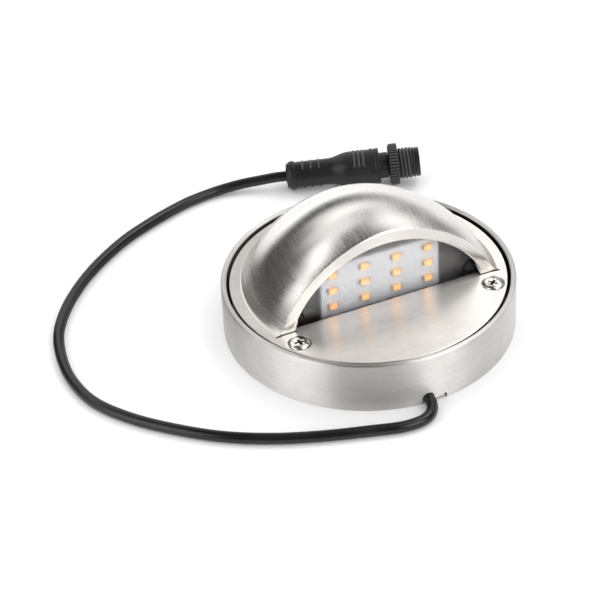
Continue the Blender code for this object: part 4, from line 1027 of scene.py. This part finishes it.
# LED packages on the board, painted shade beside them on the board, and the frosted lens

# The glow and streak values are painted light: a glow on the phosphor, and more of it in the steel's
# reflections only.
chips = {"columns": (-19.35, -6.45, 6.45, 19.35), "rows": (19.9, 26.8, 33.7), "front": -10.8, "back": -10.1,
         "halfWide": 1.75, "halfHigh": 1.4, "square": 0.28, "window": 0.36, "sunk": 0.1, "glow": 0.7,
         "paintedStreak": 1.5}
toCentre = 99  # millimetres; an inset that shrinks an outline to its centre


def chipGrid(x, z):
    # A rounded-rectangle outline shrunk towards its centre: sunk window, rim, front edge, sides, back.
    c = chips
    circle = stack(np.cos(fullTurn(40)), np.sin(fullTurn(40)))
    outline = np.sign(circle) * np.abs(circle) ** c["square"]
    half = np.array([c["halfWide"], c["halfHigh"]])
    thick = c["back"] - c["front"]
    window, sunk = c["window"], c["sunk"]
    inset = np.array([toCentre, window + 0.5, window + 0.1, window, 0.1, 0.03, 0, 0, toCentre])
    depth = np.array([sunk, sunk, sunk * 0.8, 0, 0, 0.03, 0.1, thick, thick])[:, None]
    size = np.clip(half - inset[:, None], 0, None)[:, None, :] * outline
    return stack(x + size[..., 0], c["front"] + depth, z + size[..., 1]), size


def ledFinish():
    # Amber phosphor in the middle of the package; the grain map holds millimetres from its centre.
    # The phosphor has a painted glow, and a stronger painted glow for glossy rays only, which paints the
    # long reflected streaks that the plate shows below the LEDs.
    material, tree, shader = newFinish("led package", Roughness=0.35)
    wide, high = (calculate(tree, "ABSOLUTE", value) for value in splitVector(tree, grainMap(tree))[:2])
    maskWide = mapRange(tree, wide, chips["halfWide"] - 0.2, chips["halfWide"] - 0.5)
    maskHigh = mapRange(tree, high, chips["halfHigh"] - 0.15, chips["halfHigh"] - 0.4)
    mask = calculate(tree, "MULTIPLY", maskWide, maskHigh)
    tone = mapRange(tree, mottled(tree, 2500.0)["Tone"], 0.35, 0.65)
    amber = mixColour(tree, tone, (1.0, 0.50, 0.17), (1.0, 0.58, 0.23))
    # Painted reflection: glossy rays see the phosphor glow brighter, drawing streaks in the steel.
    path = addNode(tree, "LightPath").outputs
    mirrored = calculate(tree, "SUBTRACT", path["Is Glossy Ray"], path["Is Transmission Ray"], clamp=True)
    feed(tree, shader, Base_Color=mixColour(tree, mask, (0.95, 0.62, 0.36), amber),
         Emission_Color=mixColour(tree, mask, (0.0, 0.0, 0.0), amber),
         Emission_Strength=calculate(tree, "MULTIPLY_ADD", mirrored, chips["paintedStreak"], chips["glow"]))
    return material


# Grey patches of painted shade beside each LED; the half sizes are at a patch's soft edge.
shadePatches = {"wide": (2.7, 2.2), "high": (1.25, 0.9), "proud": 0.03}  # half sizes at a pad's soft edge


def repeatMask(tree, value, first, second, edge):
    # 1 near each of a row of places that starts at first and goes on in steps of second - first.
    pitch = (second - first) * mm
    away = calculate(tree, "SUBTRACT", value, first * mm)
    wrapped = calculate(tree, "WRAP", away, -pitch / 2, pitch / 2)
    return mapRange(tree, calculate(tree, "ABSOLUTE", wrapped), edge[0] * mm, edge[1] * mm)


def boardFinish():
    # White solder mask with slightly raised grey patches of painted shade on both sides of each LED,
    # repeated by the LEDs' pitch.
    material, tree, shader = newFinish("led board", Roughness=0.4)
    place = splitVector(tree, objectPlace(tree))
    inX = repeatMask(tree, place[0], *chips["columns"][:2], shadePatches["wide"])
    inZ = repeatMask(tree, place[2], *chips["rows"][:2], shadePatches["high"])
    onShadePatch = calculate(tree, "MULTIPLY", inX, inZ)
    tone = mapRange(tree, mottled(tree)["Tone"], 0.35, 0.65)
    white = mixColour(tree, tone, (0.91, 0.925, 0.95), (0.94, 0.955, 0.98))
    # Painted shade: the board turns grey in the patches beside each LED.
    feed(tree, shader, Base_Color=mixColour(tree, onShadePatch, white, (0.42, 0.42, 0.43)),
         Normal=addBump(tree, 0.3, shadePatches["proud"], onShadePatch))
    return material


def lensFinish():
    # Frosted acrylic: what lies behind is slightly blurred to the eye, and light passes straight through.
    material, tree, shader = newFinish("frosted lens", Transmission_Weight=1.0, IOR=1.49,
                                       Base_Color=(1.0, 1.0, 1.0, 1))
    feed(tree, shader, Roughness=mapRange(tree, mottled(tree)["Tone"], 0.3, 0.7, 0.29, 0.35))
    clear = addNode(tree, "BsdfTransparent", {0: (0.92, 0.92, 0.93, 1)})
    path = addNode(tree, "LightPath").outputs
    bounced = calculate(tree, "MAXIMUM", path["Is Diffuse Ray"], path["Is Glossy Ray"])
    entering = calculate(tree, "SUBTRACT", bounced, path["Is Transmission Ray"], clamp=True)
    passing = calculate(tree, "MAXIMUM", entering, path["Is Shadow Ray"])
    both = addNode(tree, "MixShader", {0: passing, 1: shader.outputs[0], 2: clear.outputs[0]})
    tree.links.new(both.outputs[0], tree.nodes["Material Output"].inputs[0])
    return material


board = {"halfWide": 23.9, "low": 15.1, "high": 37.15, "front": -9.8, "back": -8.2, "corner": 0.6,
         "edge": 0.12}


def roundedOutline(halfWide, halfHigh, corner, steps=8):
    # Rectangle with a quarter circle at each corner, anticlockwise and closed.
    turn = np.linspace(0, np.pi / 2, steps)
    quarter = stack(np.cos(turn), np.sin(turn)) * corner
    spots = []
    for side, (x, z) in enumerate(((1, 1), (-1, 1), (-1, -1), (1, -1))):
        c, s = math.cos(side * np.pi / 2), math.sin(side * np.pi / 2)
        turned = quarter @ np.array([[c, s], [-s, c]])
        spots.append(turned + (x * (halfWide - corner), z * (halfHigh - corner)))
    return np.concatenate(spots + [spots[0][:1]])


def makeBoard():
    # Flat board: its outline shrunk to the centre on both faces, with a small edge rounding.
    b, e = board, board["edge"]
    middle, half = (b["low"] + b["high"]) / 2, (b["high"] - b["low"]) / 2
    rings = []
    for inset, depth in ((toCentre, b["front"]), (e, b["front"]), (0, b["front"] + e), (0, b["back"] - e),
                         (e, b["back"]), (toCentre, b["back"])):
        scale = 0 if inset == toCentre else 1
        outline = roundedOutline(b["halfWide"] - inset * scale, half - inset * scale, b["corner"]) * scale
        rings.append(stack(outline[:, 0], depth, middle + outline[:, 1]))
    points = np.stack(rings)
    mesh = makeMesh("ledBoard", *joinGrids([(points, points[..., (0, 2)])]), 40)
    addPiece("ledBoard", mesh, boardFinish(), "board_white", ["led_board"])


def makeChips():
    grids = [chipGrid(x, z) for x in chips["columns"] for z in chips["rows"]]
    mesh = makeMesh("ledChips", *joinGrids(grids), 40)
    names = ["led_chip_{:02d}".format(number) for number in range(1, len(grids) + 1)]
    addPiece("ledChips", mesh, ledFinish(), "led_package", names)


makeBoard()
makeChips()
print("lamp parts made")

# Light: a bright surrounding with soft dark and bright patches for the steel to mirror, and lamps

# darkAzimuth, darkSpread and darkReach place a painted dark reflection: the table turns dark there for
# glossy rays only.
studio = {"floor": 3.0, "base": 0.06, "ambient": 0.88, "floorTone": 0.82, "floorGlow": 0.04,
          "mirrorGlow": 0.08, "darkAzimuth": 138, "darkSpread": 25, "darkReach": (0.07, 0.13)}
# Each patch: azimuth and elevation of its middle, half widths and softness, all in degrees, and brightness.
patches = [((-166, 19), (20, 34), 5, 2.6), ((-62, 36), (20, 20), 5, 3.6), ((-71, 10), (10, 20), 5, 0.3),
           ((43, 45), (16, 12), 5, 2.0), ((9, 64), (17, 18), 6, 5.0), ((68, 1), (33, 8), 7, 1.8),
           ((76, 30), (24, 6), 6, 1.45), ((135, 48), (14, 6), 5, 3.3), ((96, 45), (22, 11), 5, 1.3),
           ((159, 29), (9, 10), 5, 2.2), ((11, 15), (15, 20), 5, 0.7), ((-24, 24), (6, 19), 5, 0.3)]
# Each lamp: azimuth and elevation in degrees, distance, width and height in metres, and radiance.
lamps = [(155, 48, 1.3, (0.9, 0.7), 1.3), (75, 50, 1.4, (1.1, 0.6), 1.2), (10, 48, 1.3, (0.9, 0.8), 1.2),
         (-88, 24, 1.4, (0.9, 0.6), 2.4)]


def placeLamps():
    for azimuth, elevation, distance, size, radiance in lamps:
        data = bpy.data.lights.new("lamp", "AREA")
        data.shape = "RECTANGLE"
        data.size, data.size_y = size
        data.energy = radiance * math.pi * data.size * data.size_y
        turn, rise = math.radians(azimuth), math.radians(elevation)
        direction = Vector((math.cos(turn) * math.cos(rise), math.sin(turn) * math.cos(rise),
                            math.sin(rise)))
        facing = direction.to_track_quat("Z", "Y").to_matrix().to_4x4()
        lamp = addObject("lamp", data)
        lamp.matrix_world = Matrix.Translation(direction * distance) @ facing
        lamp.visible_camera = False
        lamp.visible_glossy = False


def makeWorld():
    world = bpy.data.worlds.new("studio")
    world.use_nodes = True
    tree = world.node_tree
    x, y, z = splitVector(tree, addNode(tree, "TexCoord").outputs["Generated"])
    azimuth = calculate(tree, "DEGREES", calculate(tree, "ARCTAN2", y, x))
    elevation = calculate(tree, "DEGREES", calculate(tree, "ARCSINE", z))
    level = studio["base"]
    for (turn, rise), (wide, high), soft, value in patches:
        wrapped = calculate(tree, "WRAP", calculate(tree, "SUBTRACT", azimuth, turn), -180.0, 180.0)
        side = calculate(tree, "ABSOLUTE", wrapped)
        lift = calculate(tree, "ABSOLUTE", calculate(tree, "SUBTRACT", elevation, rise))
        inside = calculate(tree, "MULTIPLY", mapRange(tree, side, wide + soft, wide - soft),
                           mapRange(tree, lift, high + soft, high - soft))
        level = calculate(tree, "MULTIPLY_ADD", inside, value, level)
    path = addNode(tree, "LightPath").outputs
    ambient = addNode(tree, "Mix", {0: path["Is Diffuse Ray"], 2: level, 3: studio["ambient"]},
                      data_type="FLOAT")
    seen = calculate(tree, "MAXIMUM", path["Is Camera Ray"], path["Is Transmission Ray"])
    final = addNode(tree, "Mix", {0: seen, 2: ambient.outputs[0], 3: 1.0}, data_type="FLOAT")
    tree.links.new(final.outputs[0], tree.nodes["Background"].inputs[0])
    bpy.context.scene.world = world


def floorFinish():
    # The table glows a little for the camera and in the steel. For glossy rays only, the table is painted
    # dark behind the light at the left, a painted dark reflection in the metal; the camera sees white there.
    material, tree, shader = newFinish("floor", Roughness=0.9, Specular_IOR_Level=0.0,
                                       Emission_Color=(1, 1, 1, 1))
    path = addNode(tree, "LightPath").outputs
    glossy = path["Is Glossy Ray"]
    glow = calculate(tree, "MULTIPLY", glossy, studio["mirrorGlow"])
    strength = calculate(tree, "MULTIPLY_ADD", path["Is Camera Ray"], studio["floorGlow"], glow)
    place = objectPlace(tree)
    x, y = splitVector(tree, place)[:2]
    turn = calculate(tree, "ARCTAN2", y, x)
    away = calculate(tree, "SUBTRACT", turn, math.radians(studio["darkAzimuth"]))
    side = calculate(tree, "ABSOLUTE", away)
    reach = addNode(tree, "VectorMath", {0: place}, operation="LENGTH").outputs["Value"]
    spread = math.radians(studio["darkSpread"])
    dark = calculate(tree, "MULTIPLY", mapRange(tree, side, spread * 1.35, spread * 0.85),
                     mapRange(tree, reach, *studio["darkReach"]))
    # Painted reflection: dark only for glossy rays.
    mirrored = calculate(tree, "MULTIPLY", dark, glossy)
    tone = studio["floorTone"]
    white = (tone, tone, tone * 1.005)
    feed(tree, shader, Emission_Strength=strength,
         Base_Color=mixColour(tree, mirrored, white, (0.05, 0.05, 0.05)))
    return material


def makeFloor():
    size = studio["floor"]
    mesh = bpy.data.meshes.new("floor")
    corners = [(-size, -size, 0), (size, -size, 0), (size, size, 0), (-size, size, 0)]
    mesh.from_pydata(corners, [], [(0, 1, 2, 3)])
    mesh.materials.append(floorFinish())
    addObject("floor", mesh)


placeLamps()
makeWorld()
makeFloor()
bpy.context.scene.view_settings.view_transform = "Standard"
print("studio lit")

carried = {"steel": coverSteel, "screw_steel": screwSteel, "zinc": zincPlate, "alloy": carrierAlloy,
           "board_white": boardWhite, "black_plastic": blackPlastic, "rubber": blackRubber,
           "cord_jacket": cordJacket, "lead_red": redLead, "lead_black": blackLead, "lead_white": whiteLead,
           "board_green": boardGreen, "terminal": terminalBlue, "ferrite": ferrite, "can": canSleeve,
           "brass": giltBrass, "led_package": boardWhite, "frosted_lens": lensFinish()}
for part in frame["record"]["subparts"]:
    shown = nodes[part["node"]]
    shown.data.materials.clear()
    shown.data.materials.append(carried[part["material_slot"]])
